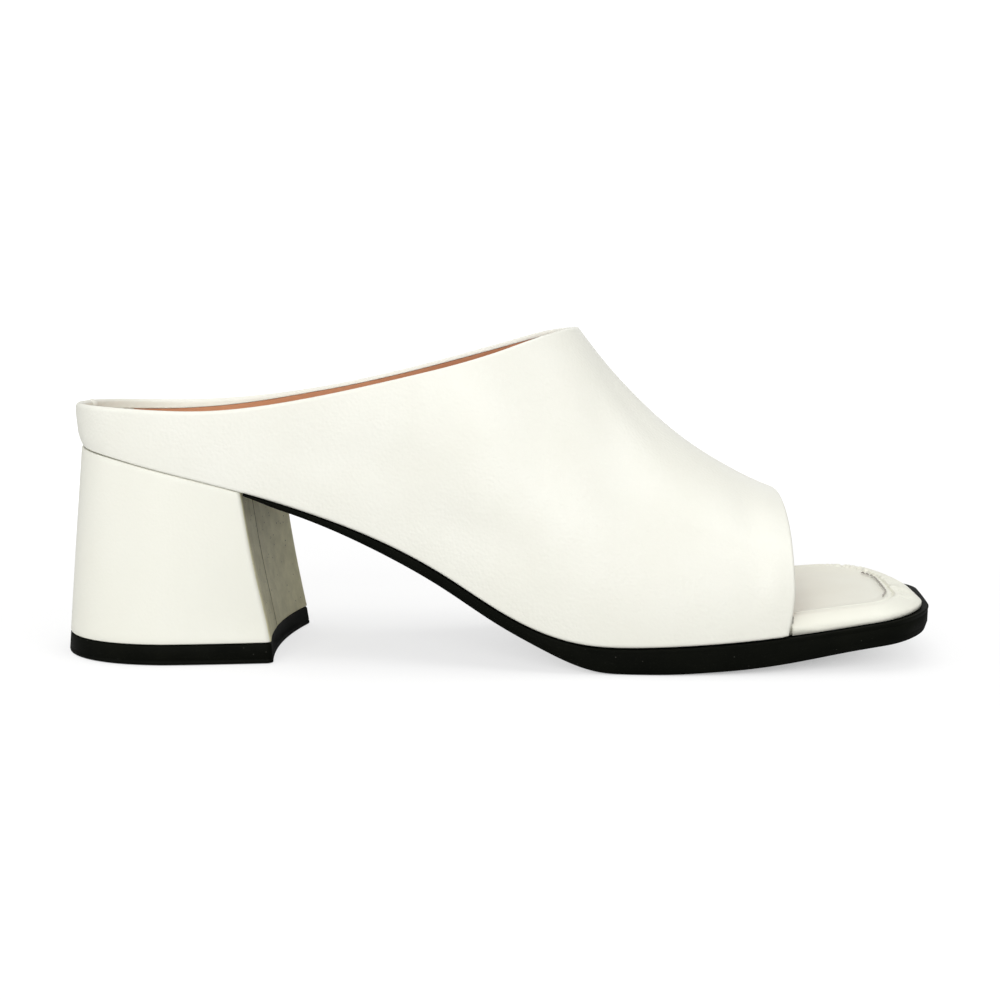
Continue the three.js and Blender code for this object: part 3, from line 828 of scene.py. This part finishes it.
# %% Outline helpers


def corner_cut(x, end, radius):
    """How far a corner of the square toe draws the outline in."""
    into = np.clip((x - (end - radius)) / radius, 0, 1)
    return radius * (1 - np.sqrt(1 - into * into))


TOE_BOW = 0.8  # the toe's end is a very shallow arc


def skewed(x, y, skew):
    """Station moved by the slant and the bow of the toe's end."""
    amount = np.clip((x - TOE_SKEW_FROM) / (TOE_END - TOE_SKEW_FROM), 0, 1.1)
    bowed = TOE_BOW * (0.4 - ((y - RIDGE_SIDE) / 28) ** 2)
    return x + (skew * (y - RIDGE_SIDE) + bowed) * amount * amount


def sole_plan(x, across, inset, corners=(LATERAL_CORNER, MEDIAL_CORNER), skew=TOE_SKEW, at_front=0.0):
    """Place on the sole at station x, the outline drawn in by inset, and by at_front more ahead."""
    side = np.where(across < 0, -1.0, 1.0)
    toeward = np.clip((x - VAMP_FRONT) / (TOE_END - VAMP_FRONT), 0, 1)
    drawn = x - (inset + at_front) * toeward
    radius = np.where(side < 0, *corners) - inset
    width = half_width(drawn, side) + SOLE_PROUD - inset
    y = across * (width - corner_cut(drawn, TOE_END - inset - at_front, radius))
    return skewed(drawn, y, skew), y


def toe_stations(start, count):
    """Stations that crowd towards the toe's end, where the corners turn."""
    turn = np.linspace(0, math.pi / 2, count + 1)
    return start + (TOE_END - start) * np.sin(turn)


# %% Grid solid builder


def grid_solid(layers):
    """Closed solid from stacked grids: the bottom one, any number of edge rings, the top one."""
    rows, columns = layers[0].shape[:2]
    edge = [(r, 0) for r in range(rows - 1)]
    edge += [(rows - 1, c) for c in range(columns - 1)]
    edge += [(r, columns - 1) for r in range(rows - 1, 0, -1)]
    edge += [(0, c) for c in range(columns - 1, 0, -1)]
    bottom, top = layers[0].reshape(-1, 3), layers[-1].reshape(-1, 3)
    points = [bottom, top]
    top_start = len(bottom)
    faces = grid_faces(rows, columns, False, top_start)
    faces += grid_faces(rows, columns, False, flip=True)
    rings = [[r * columns + c for r, c in edge]]
    start = 2 * len(bottom)
    for layer in layers[1:-1]:
        points.append(np.array([layer[r, c] for r, c in edge]))
        rings.append(list(range(start, start + len(edge))))
        start += len(edge)
    rings.append([top_start + r * columns + c for r, c in edge])
    for low, high in zip(rings[:-1], rings[1:]):
        for i in range(len(edge)):
            j = (i + 1) % len(edge)
            faces.append((low[i], low[j], high[j], high[i]))
    return np.concatenate(points), faces


# %% [markdown]
# ## Outsole
# A thin black rubber sole. Its edge is trimmed, with a small round at the top and at the tread, and
# round the toe a fine groove separates the rim from the rest of the edge.

# %% Outsole
GAP = 0.3
SOLE_BACK, SKIVED, SKIVE_LENGTH = 55.8, 0.6, 10  # the sole thins to a feather edge at the heel
BREAST_REACH = 34  # the hollow of the heel's front fades out of the sole over this length
CONTACT_SOFT, CONTACT_SINK = 1.0, 0.2  # how softly the tread leaves the floor
EDGE_FULL = 4.2  # where the sole is thinner than this, the edge's profile shrinks with it
THINNEST = 0.15  # but never under this share
SOLE_ROWS, SOLE_COLUMNS = 260, 56
TOE_PART = 205  # ahead of this station the rows crowd towards the toe's end
EDGE_CROWD = 0.92  # how strongly the columns crowd towards the edge
sole_x = np.concatenate([np.linspace(SOLE_BACK, TOE_PART, SOLE_ROWS)[:-1],
                         toe_stations(TOE_PART, SOLE_ROWS // 3)])
sole_turn = np.linspace(-math.pi / 2, math.pi / 2, SOLE_COLUMNS + 1)
sole_across = np.sin(sole_turn * EDGE_CROWD) / math.sin(math.pi / 2 * EDGE_CROWD)
# Edge of the sole from tread to top: from which face it is measured, how far from that face, how
# far in from the outline, and how much of that inset is left behind the toe.
SOLE_EDGE = [("tread", 0.0, 0.5, 1.0), ("tread", 0.15, 0.15, 1.0), ("tread", 0.5, 0.0, 1.0),
             ("tread", 1.9, 0.0, 1.0), ("tread", 2.05, 0.12, 0.0), ("tread", 2.2, 0.0, 1.0),
             ("top", 1.55, 0.0, 1.0), ("top", 1.3, 0.28, 0.0), ("top", 1.1, 0.05, 0.0),
             ("top", 0.35, 0.0, 1.0), ("top", 0.1, 0.1, 1.0), ("top", 0.0, 0.35, 1.0)]
TREAD_PITCH, TREAD_DEPTH = 4.0, 0.35
# Between these stations and shares of the width the grooves fade in and out.
GROOVES_START, GROOVES_END, GROOVES_SIDE = (136, 140), (236, 239), (0.8, 0.86)


def tread_grooves(x, across):
    """Shallow grooves across the forepart, kept clear of the edge."""
    wave = smoothstep(np.abs((x / TREAD_PITCH) % 1 - 0.5), 0.3, 0.42)
    field = smoothstep(x, *GROOVES_START) * (1 - smoothstep(x, *GROOVES_END))
    field = field * (1 - smoothstep(np.abs(across), *GROOVES_SIDE))
    return TREAD_DEPTH * wave * field


def sole_layer(anchor, drop, inset, kept):
    """One grid of the sole, at a distance from its tread or from its top."""
    grid_x, grid_across = np.meshgrid(sole_x, sole_across, indexing="ij")
    at_rim = smoothstep(grid_x, 200, 236)
    if anchor == "tread":
        draft = SOLE_DRAFT * (1 - smoothstep(drop, 0.0, 3.5))
    else:
        draft = SOLE_DRAFT * 0.25 * min(drop, 1)
    x, y = sole_plan(grid_x, grid_across, draft + inset * (kept + (1 - kept) * at_rim))
    reach = np.clip(1 - (grid_x - SOLE_BACK) / BREAST_REACH, 0, 1)
    x = x - BREAST_HOLLOW * (1 - grid_across ** 2) * reach
    top = seam_height(x) - GAP
    free = tread_height(x)
    softened = (free + np.sqrt(free ** 2 + CONTACT_SOFT ** 2)) / 2 - CONTACT_SINK
    skived = SKIVED * (1 - smoothstep(x, SOLE_BACK, SOLE_BACK + SKIVE_LENGTH))
    tread = np.maximum(0, softened) + skived
    if anchor == "tread" and drop == 0.0:
        tread = tread + tread_grooves(x, grid_across)
    thin = np.clip((top - tread) / EDGE_FULL, THINNEST, 1)
    z = tread + drop * thin if anchor == "tread" else top - drop * thin
    return np.stack([x, y, z], -1)


points, faces = grid_solid([sole_layer(*row) for row in SOLE_EDGE])
outsole = add_piece("outsole_rubber", points, faces, black_rubber)
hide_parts("outsole")

# %% [markdown]
# ## Heel and top lift
# The heel is a block under leather: rounded at the back, flat at the sides and hollowed in front,
# where the covering is folded round the corners and meets the front panel in a seam.
# Under it sits the top lift, a rubber piece that takes the wear.

# %% Heel sections
FAN_START = 0.9  # radians from the middle of the back: the first row ends this far round
HEEL_FAN_ROWS, HEEL_RUN_ROWS = 26, 34
HEEL_FILLET = 1.3  # radius of the heel's upright front edges
SEAM_AT, LAP_PROUD, SEAM_DEEP, SEAM_HALF = -6.0, 0.1, 0.8, 0.45  # where the cover's ends meet
FRONT_HALF_WIDTH = 27.6  # turns a place on the front into a share of its width
seam_columns = (SEAM_AT + np.linspace(-1.2, 1.2, 25)) / FRONT_HALF_WIDTH
HEEL_ACROSS = np.unique(np.round(np.concatenate([np.linspace(-1, 1, 61), seam_columns]), 5))


def heel_fan(fan, across, back, width):
    """Rows that fan round the heel, from fan = 0 at the back to 1 where its round ends."""
    end_x, end_y = heel_round(FAN_START + (math.pi / 2 - FAN_START) * fan, back, width)
    first_x, first_y = heel_round(FAN_START, back, width)
    reach = np.abs(across * first_y / width)
    arc_x = HEEL_CENTRE - (HEEL_CENTRE - back) * (1 - reach ** HEEL_ROUNDNESS) ** (1 / HEEL_ROUNDNESS)
    return end_x - (1 - fan) * (first_x - arc_x), across * end_y


def heel_runs():
    """Shares from the end of the heel's round to its front, crowded where the front edge rounds."""
    plain = np.linspace(0, 0.93, HEEL_RUN_ROWS - 7)
    return np.concatenate([plain, [0.945, 0.955, 0.965, 0.975, 0.984, 0.992, 0.997, 1.0]])


def heel_section(up, grow=0.0):
    """Grid of one level of the heel in plan; grow draws the outline in."""
    across = HEEL_ACROSS[None, :]
    width, back = float(heel_width(up)) - grow, float(heel_back(up)) + grow
    fan = np.linspace(0, 1, HEEL_FAN_ROWS + 1)[:-1, None]
    fan_x, fan_y = heel_fan(fan, across, back, width)
    run = heel_runs()[:, None]
    corner, front = float(heel_corner(up)) - grow, float(heel_corner_x(up)) - grow
    to_front = (1 - run) * (front - HEEL_CENTRE)
    into = np.clip(1 - to_front / HEEL_FILLET, 0, 1)
    fillet = HEEL_FILLET * (1 - np.sqrt(1 - into ** 2))
    run_x = HEEL_CENTRE + (front - HEEL_CENTRE) * run - BREAST_HOLLOW * (1 - across ** 2) * run ** 2
    run_y = across * (width + (corner - width) * run ** 1.2 - fillet)
    return np.concatenate([fan_x, run_x]), np.concatenate([fan_y, run_y])


def heel_level(up, z_of, grow=0.0, seamed=True):
    """One level of the heel. z_of gives the height at station x; seamed adds the front's seam."""
    x, y = heel_section(up, grow)
    if seamed:
        past = SEAM_AT - y[-1]
        lap = LAP_PROUD * smoothstep(past, -0.1, 0.3) * np.exp(-np.maximum(past, 0) / 9)
        x[-1] += lap - SEAM_DEEP * np.exp(-(past / SEAM_HALF) ** 2)
    return np.stack([x, y, z_of(x)], -1)


LIFT_SHARE = 0.1  # share of the heel's height that the top lift takes
BLOCK_LEVELS = 30
block_base = LIFT_HEIGHT + GAP


def block_level(rise, grow=0.0, offset=0.0):
    """Level of the covered block, drawn in by grow and moved up by offset."""
    up = LIFT_SHARE + (1 - LIFT_SHARE) * rise
    return heel_level(up, lambda x: block_base + rise * (seam_height(x) - GAP - block_base) + offset, grow)


# The first and last three levels round the block's lower and upper edge.
block_layers = [block_level(0, 0.35, -0.1), block_level(0, 0.1, 0.0), block_level(0, 0.0, 0.3)]
block_layers += [block_level(rise) for rise in np.linspace(0, 1, BLOCK_LEVELS + 1)[1:-1]]
block_layers += [block_level(1, 0.0, -0.3), block_level(1, 0.12, 0.05), block_level(1, 0.4, 0.15)]
points, faces = grid_solid(block_layers)
heel_block = add_piece("heel_cover", points, faces, heel_leather)
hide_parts("heel_block")

# %% Finish of the heel's front
# Faces that look forward get the front's colour, which is partly its own olive tone and partly painted
# shade.
FRONT_FACING = 0.8  # faces that look forward more than this belong to the front
FRONT_FROM = HEEL_CENTRE + 15  # only faces ahead of this station
# Faces along the seam get the painted shade of its groove.
SEAM_FACES = 1.6  # faces within this many half widths of the seam belong to it
UPRIGHT = 0.7  # unless they look up or down more than this
heel_block.data.materials.append(breast_tone_and_painted_shade)
heel_block.data.materials.append(seam_groove_painted_shade)
front_faces = 0
for face in heel_block.data.polygons:
    centre = (np.array(face.center) - shift) / MM
    at_front = centre[0] > FRONT_FROM
    near_seam = abs(centre[1] - SEAM_AT) < SEAM_FACES * SEAM_HALF
    if at_front and near_seam and abs(face.normal.z) < UPRIGHT:
        face.material_index = 2
    elif at_front and face.normal.x > FRONT_FACING:
        face.material_index = 1
        front_faces += 1
print("faces of the heel's front:", front_faces)

# %% Top lift
# Rows: height above the floor, and how far in from the outline.
LIFT_EDGE = [(0.0, 0.45), (0.12, 0.12), (0.45, 0.0), (1.05, 0.0), (1.2, 0.18), (1.4, 0.0),
             (5.1, 0.0), (5.45, 0.12), (5.6, 0.4)]
lift_layers = [heel_level(LIFT_SHARE * z / LIFT_HEIGHT, lambda x, z=z: np.full_like(x, z), inset, False)
               for z, inset in LIFT_EDGE]
points, faces = grid_solid(lift_layers)
top_lift = add_piece("top_lift_rubber", points, faces, black_rubber)
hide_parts("top_lift")

# %% [markdown]
# ## Insole
# The footbed is padded and wrapped in leather, and its edge rolls over to the sole. A stitched
# channel runs round it a few millimetres in, and round the toe the wrapping leather is gathered
# into fine pleats between that channel and the edge. The surface is a height field over the
# plan: rolled edge, channel and pleats are all functions of the distance to the outline.

# %% Insole outline and distances
INSOLE_FAN_ROWS = 18
INSOLE_BACK = 5.8
INSIDE = WALL + 0.45  # the insole keeps clear of the upper's wall
SHOW_FROM = 208.8  # ahead of the upper the insole runs out to the sole's edge
# The insole's toe is squarer to the foot than the sole's, so more of the rim shows at the big toe.
INSOLE_TOE = {"corners": (17.0, 24.0), "skew": 0.02, "at_front": 1.0}


def insole_outline():
    """Outline of the part that shows, from the lateral edge round the toe to the medial one."""
    x = toe_stations(SHOW_FROM - 40, 160)
    lateral = np.stack(sole_plan(x, np.full_like(x, -1.0), INSOLE_SETBACK, **INSOLE_TOE), -1)
    medial = np.stack(sole_plan(x, np.full_like(x, 1.0), INSOLE_SETBACK, **INSOLE_TOE), -1)
    across = np.linspace(-1, 1, 60)[1:-1]
    front = np.stack(sole_plan(np.full_like(across, TOE_END), across, INSOLE_SETBACK, **INSOLE_TOE), -1)
    return np.concatenate([lateral, front, medial[::-1]])


outline = insole_outline()
outline_length = run_length(outline)


def outline_distance(x, y):
    """Distance to the outline and how far along it the nearest point lies."""
    flat = np.stack([x.ravel(), y.ravel()], -1)
    gap, share = distance_to(flat, outline)
    return gap.reshape(x.shape), (share * outline_length[-1]).reshape(x.shape)


# %% Insole surface
ROLL_WIDTH, ROLL_NARROWER, EDGE_HEIGHT = 6.5, 1.5, 0.8
CHANNEL_SIDE, CHANNEL_FRONT = 6.2, 10.0
CHANNEL_DEPTH, CHANNEL_WIDTH, SUNKEN = 0.5, 0.45, 0.9
FRONT_DEEPER = 0.6  # the channel is drawn tighter at the toe, where the stitches show
PLEAT_PITCH, PLEAT_HEIGHT, PLEAT_SHARPNESS = 2.3, 0.9, 0.55
SHOULDER, SHOULDER_AT, SHOULDER_WIDTH = 0.25, 2.2, 1.6  # the padding swells outside the channel


def channel_inset(x):
    """How far in from the outline the channel runs: further at the toe."""
    return CHANNEL_SIDE + (CHANNEL_FRONT - CHANNEL_SIDE) * smoothstep(x, 233, 246)


def channel_depth(x, y):
    """Depth of the channel, which is drawn tighter at the toe."""
    return CHANNEL_DEPTH + FRONT_DEEPER * smoothstep(x, 226, 237) * smoothstep(y, -16, -4)


def insole_height(x, y, across):
    """Height of the footbed above the seam line."""
    full = insole_thickness(x) + across * insole_cant(x)
    gap, along = outline_distance(x, y)
    rolled = np.clip(gap / (ROLL_WIDTH - ROLL_NARROWER * smoothstep(across, 0, 1)), 0, 1)
    profile = np.sqrt(np.clip(1 - (1 - rolled) ** 2, 0, 1))
    edge = np.minimum(EDGE_HEIGHT, full)
    height = edge + (full - edge) * profile
    line = channel_inset(x)
    shown = smoothstep(x, SHOW_FROM - 30, SHOW_FROM - 10)
    height -= channel_depth(x, y) * np.exp(-((gap - line) / CHANNEL_WIDTH) ** 2) * shown
    height -= SUNKEN * smoothstep(gap, line, line + 6) * shown
    height += SHOULDER * np.exp(-((gap - line + SHOULDER_AT) / SHOULDER_WIDTH) ** 2) * shown
    phase = along / PLEAT_PITCH + 0.3 * np.sin(along * 0.9) + 0.12 * np.sin(along * 2.3 + 1)
    pleats = np.abs(np.sin(math.pi * phase)) ** PLEAT_SHARPNESS
    # The pleats lie between the edge and the channel, and only round the toe.
    window = smoothstep(gap, 1.2, 3.5) * (1 - 0.6 * smoothstep(gap, line - 0.8, line + 0.8))
    window = window * (1 - smoothstep(gap, line + 1.5, line + 4.0))
    window = window * smoothstep(x, 224, 234) * smoothstep(y, -20, -8)
    return height - PLEAT_HEIGHT * (1 - pleats) * window


# %% Insole piece
INSOLE_COLUMNS = 160
hidden_x = np.linspace(44, 205, 60)
shown_x = toe_stations(SHOW_FROM, 190)
insole_x = np.concatenate([hidden_x, [SHOW_FROM - 0.4], shown_x])
across_line = np.sin(np.linspace(-1, 1, INSOLE_COLUMNS + 1) * math.pi / 2 * 0.86)
across_line = across_line / across_line[-1]


def insole_grid(inset):
    """Plan of the insole: a fan round the heel, then stations along the foot."""
    across = across_line[None, :]
    fan = np.linspace(0, 1, INSOLE_FAN_ROWS + 1)[:, None]
    width = half_width(np.full_like(across, HEEL_CENTRE), across) - INSIDE - inset
    back = INSOLE_BACK + inset
    fan_x, fan_y = heel_fan(fan, across, back, width)
    drawn = np.where(insole_x > VAMP_FRONT + 1, INSOLE_SETBACK, SOLE_PROUD + INSIDE) + inset
    run_x, run_y = sole_plan(insole_x[:, None], across, drawn[:, None], **INSOLE_TOE)
    return np.concatenate([fan_x, run_x]), np.concatenate([fan_y, run_y])


grid_x, grid_y = insole_grid(0.0)
# At the foot of the vamp's edge the roll reaches back to the leather.
at_foot = (grid_x > SHOW_FROM - 0.2) * (1 - smoothstep(grid_x, SHOW_FROM, SHOW_FROM + 6))
grid_x = grid_x - 1.5 * at_foot * smoothstep(np.abs(across_line[None, :]), 0.86, 1.0)
grid_across = np.broadcast_to(across_line[None, :], grid_x.shape)
seam = seam_height(grid_x)
height = insole_height(grid_x, grid_y, grid_across)
hidden = grid_x < VAMP_FRONT + 0.5
inside_edge = 1 - smoothstep(1 - np.abs(grid_across), 0.0, 0.07)
height = np.where(hidden, insole_thickness(grid_x) + grid_across * insole_cant(grid_x)
                  - 1.2 * inside_edge, height)
blend = smoothstep(grid_x, 196, VAMP_FRONT)
deep = insole_height(grid_x, grid_y, grid_across)
height = np.where(hidden, height * (1 - blend) + np.minimum(deep, height) * blend, deep)
bottom = np.stack([grid_x, grid_y, seam], -1)
top = np.stack([grid_x, grid_y, seam + height], -1)
points, faces = grid_solid([bottom, top])
insole = add_piece("insole_wrapped", points, faces, insole_leather)
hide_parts("insole")

# %% [markdown]
# ## Stitches
# The turned edge of the collar is sewn down along its lower border, and the insole's channel holds
# a row of stitches that shows at the toe. Each stitch is a short piece of thread that dips into the
# leather at both ends.

# %% Stitch builder
THREAD_SIDES, THREAD_STEPS = 7, 7


def along_path(path, spacing, closed=False):
    """The path, closed if asked, its length at each point, and where evenly spaced stitches start."""
    line = np.vstack([path, path[:1]]) if closed else path
    length = run_length(line)
    starts = np.arange(spacing / 2, length[-1] - spacing / 2, spacing)
    return line, length, starts


def stitches(name, path, lift, stitch, pitch, radius, material, closed=False):
    """A row of threads on a path. lift holds the directions that stand out of the leather."""
    line, length, starts = along_path(path, pitch, closed)
    out = np.vstack([lift, lift[:1]]) if closed else lift
    ring = np.linspace(0, 2 * math.pi, THREAD_SIDES, endpoint=False)
    points, faces = [], []
    for start in starts:
        share = np.linspace(0, 1, THREAD_STEPS)
        at = start + stitch * share
        centre = np.stack([np.interp(at, length, line[:, k]) for k in range(3)], -1)
        up = unit(np.stack([np.interp(at, length, out[:, k]) for k in range(3)], -1))
        run = unit(np.gradient(centre, axis=0))
        side = unit(np.cross(run, up))
        dip = np.sin(math.pi * share) ** 0.6
        thick = radius * (0.35 + 0.65 * dip)
        centre = centre + up * (radius * (1.1 * dip - 0.9))[:, None]
        base = len(points)
        for c, u, w, t in zip(centre, up, side, thick):
            points.extend(c + t * (math.cos(r) * u + math.sin(r) * w) for r in ring)
        tube = grid_faces(THREAD_STEPS, THREAD_SIDES, False, base)
        wrap = []
        for i in range(THREAD_STEPS - 1):
            here, ahead = base + i * THREAD_SIDES, base + (i + 1) * THREAD_SIDES
            wrap.append((here + THREAD_SIDES - 1, ahead + THREAD_SIDES - 1, ahead, here))
        last = base + (THREAD_STEPS - 1) * THREAD_SIDES
        ends = [tuple(base + k for k in range(THREAD_SIDES)),
                tuple(last + k for k in reversed(range(THREAD_SIDES)))]
        faces += [face[::-1] for face in tube + wrap + ends]
    print(name, "stitches:", len(starts))
    add_piece(name, np.array(points), faces, material)


# %% Stitches of the collar's turned edge
ABOVE_BORDER = 0.1  # the row runs this far above the border of the turned edge
inner_face = skin - normals * (2 * FOLD)
facing_path = inner_face[:, TURN_IN]
facing_up = unit(facing_path - inner_face[:, TURN_IN + 3])
stitches("collar_stitches", facing_path + facing_up * ABOVE_BORDER, -normals[:, TURN_IN],
         stitch=1.7, pitch=2.9, radius=0.13, material=pale_thread, closed=True)

# %% Stitches of the insole's channel
STITCHES_SHOW = 235.0  # ahead of this the stitches lie high in the channel
THREAD_HEIGHT = 0.75  # how high in the channel they lie, as a share of its depth
run_in = unit(np.gradient(outline, axis=0))
inward = np.stack([-run_in[:, 1], run_in[:, 0]], -1)
channel = outline + inward * channel_inset(outline[:, 0])[:, None]
channel = channel[channel[:, 0] > SHOW_FROM - 14]
channel_across = np.clip((channel[:, 1] - RIDGE_SIDE) / 33, -1, 1)
channel_z = seam_height(channel[:, 0]) + insole_height(channel[:, 0], channel[:, 1], channel_across)
channel_z = channel_z + THREAD_HEIGHT * channel_depth(channel[:, 0], channel[:, 1])
channel_path = np.column_stack([channel, channel_z])
at_front = channel[:, 0] > STITCHES_SHOW
upward = np.array([0.0, 0.0, 1.0])
# The thread's grey is partly painted shade of the channel.
stitches("insole_front_stitches", channel_path[at_front], np.tile(upward, (at_front.sum(), 1)),
         stitch=2.0, pitch=2.5, radius=0.27, material=grey_thread_painted_shade)

# %% [markdown]
# ## Ground and light
# A pale floor meets a pale background. The main soft light stands in front of the outer side, and
# a large one hangs overhead. Three weaker ones open the shadows: from the heel's side, from high at
# the toe's side, and from low on the inner side. The world fills what is left, so that white
# leather keeps its shape without any hard edge.

# %% World
CAMERA_WHITE, ROOM_LIGHT = 1.1, 0.38


def make_world():
    """Room light for the shoe, and pure white where the camera sees past it."""
    world = bpy.data.worlds.new("soft_studio")
    world.use_nodes = True
    nodes, links = world.node_tree.nodes, world.node_tree.links
    room = nodes["Background"]
    room.inputs["Color"].default_value = (1, 1, 1, 1)
    room.inputs["Strength"].default_value = ROOM_LIGHT
    seen = nodes.new("ShaderNodeBackground")
    seen.inputs["Color"].default_value = (1, 1, 1, 1)
    seen.inputs["Strength"].default_value = CAMERA_WHITE
    pick = nodes.new("ShaderNodeMixShader")
    links.new(nodes.new("ShaderNodeLightPath").outputs["Is Camera Ray"], pick.inputs["Fac"])
    links.new(room.outputs["Background"], pick.inputs[1])
    links.new(seen.outputs["Background"], pick.inputs[2])
    links.new(pick.outputs["Shader"], nodes["World Output"].inputs["Surface"])
    return world


bpy.context.scene.world = make_world()

# %% Floor
FLOOR_HALF, FLOOR_DROP = 30.0, 0.0002
FLOOR_SHADE, FLOOR_GLOW, FAR_GLOW = 0.33, 0.70, 1.1
# The glow that the camera sees lightens the floor's real shading as painted light, and ambient occlusion
# dims it deep under the shoe as a painted shadow.
CONTACT_REACH, CONTACT_POWER, CONTACT_SHARE = 0.06, 18.0, 0.7  # the shadow deep under the shoe
CONTACT_SAMPLES = 32
GLOW_NEAR, GLOW_FAR = 0.2, 0.5  # metres from the middle between which the floor turns white
FLOOR_BOUNCE = 0.62  # what the floor throws back up on the shoe


def make_floor():
    """A floor that the camera sees as paper: a painted glow over its real shading, a painted shadow deep
    under the shoe, and pure white further off.
    """
    mesh = bpy.data.meshes.new("floor")
    corners = [(-1, -1), (1, -1), (1, 1), (-1, 1)]
    mesh.from_pydata([(x * FLOOR_HALF, y * FLOOR_HALF, -FLOOR_DROP) for x, y in corners], [], [(0, 1, 2, 3)])
    floor = bpy.data.objects.new("floor", mesh)
    bpy.context.scene.collection.objects.link(floor)
    material = bpy.data.materials.new("pale_floor")
    material.use_nodes = True
    nodes, links = material.node_tree.nodes, material.node_tree.links
    seen = nodes["Principled BSDF"]
    seen.inputs["Base Color"].default_value = (FLOOR_SHADE, FLOOR_SHADE, FLOOR_SHADE, 1)
    seen.inputs["Roughness"].default_value = 0.95
    seen.inputs["Specular IOR Level"].default_value = 0.0
    seen.inputs["Emission Color"].default_value = (1, 1, 1, 1)
    away = nodes.new("ShaderNodeVectorMath")
    away.operation = "LENGTH"
    links.new(nodes.new("ShaderNodeTexCoord").outputs["Object"], away.inputs[0])
    glow = nodes.new("ShaderNodeMapRange")
    glow.interpolation_type = "SMOOTHSTEP"
    glow.inputs["From Min"].default_value, glow.inputs["From Max"].default_value = GLOW_NEAR, GLOW_FAR
    glow.inputs["To Min"].default_value, glow.inputs["To Max"].default_value = FLOOR_GLOW, FAR_GLOW
    links.new(away.outputs["Value"], glow.inputs["Value"])
    near = nodes.new("ShaderNodeAmbientOcclusion")
    near.inputs["Distance"].default_value = CONTACT_REACH
    near.samples = CONTACT_SAMPLES
    covered = math_node(nodes, links, "SUBTRACT", 1.0, near.outputs["AO"])
    hollow = math_node(nodes, links, "POWER", covered, CONTACT_POWER)
    painted_shadow = math_node(nodes, links, "MULTIPLY", hollow, CONTACT_SHARE)
    kept = math_node(nodes, links, "SUBTRACT", 1.0, painted_shadow)
    strength = math_node(nodes, links, "MULTIPLY", glow.outputs["Result"], kept)
    links.new(strength, seen.inputs["Emission Strength"])
    felt = nodes.new("ShaderNodeBsdfDiffuse")
    felt.inputs["Color"].default_value = (FLOOR_BOUNCE, FLOOR_BOUNCE, FLOOR_BOUNCE, 1)
    pick = nodes.new("ShaderNodeMixShader")
    links.new(nodes.new("ShaderNodeLightPath").outputs["Is Camera Ray"], pick.inputs["Fac"])
    links.new(felt.outputs["BSDF"], pick.inputs[1])
    links.new(seen.outputs["BSDF"], pick.inputs[2])
    links.new(pick.outputs["Shader"], nodes["Material Output"].inputs["Surface"])
    mesh.materials.append(material)


make_floor()

# %% Lights


def soft_light(name, place, target, size, power):
    """A square soft box that looks at target. Places in metres, power in watts."""
    data = bpy.data.lights.new(name, "AREA")
    data.shape, data.size, data.energy = "SQUARE", size, power
    light = bpy.data.objects.new(name, data)
    light.location = place
    light.rotation_euler = (Vector(target) - Vector(place)).to_track_quat("-Z", "Y").to_euler()
    bpy.context.scene.collection.objects.link(light)


soft_light("front_key", (-0.2, -1.6, 0.7), (0.0, 0.0, 0.05), 1.2, 15.3)
soft_light("left_fill", (-1.5, -0.7, 0.5), (0.0, 0.0, 0.04), 0.9, 3.5)
soft_light("high_right", (0.9, -0.5, 1.1), (0.05, 0.0, 0.05), 0.7, 3.0)
soft_light("overhead", (0.0, 0.0, 1.7), (0.0, 0.0, 0.0), 1.2, 9.8)
soft_light("back_low", (0.2, 1.5, 0.45), (0.0, 0.0, 0.04), 1.2, 2.8)
bpy.context.scene.view_settings.view_transform = "Standard"
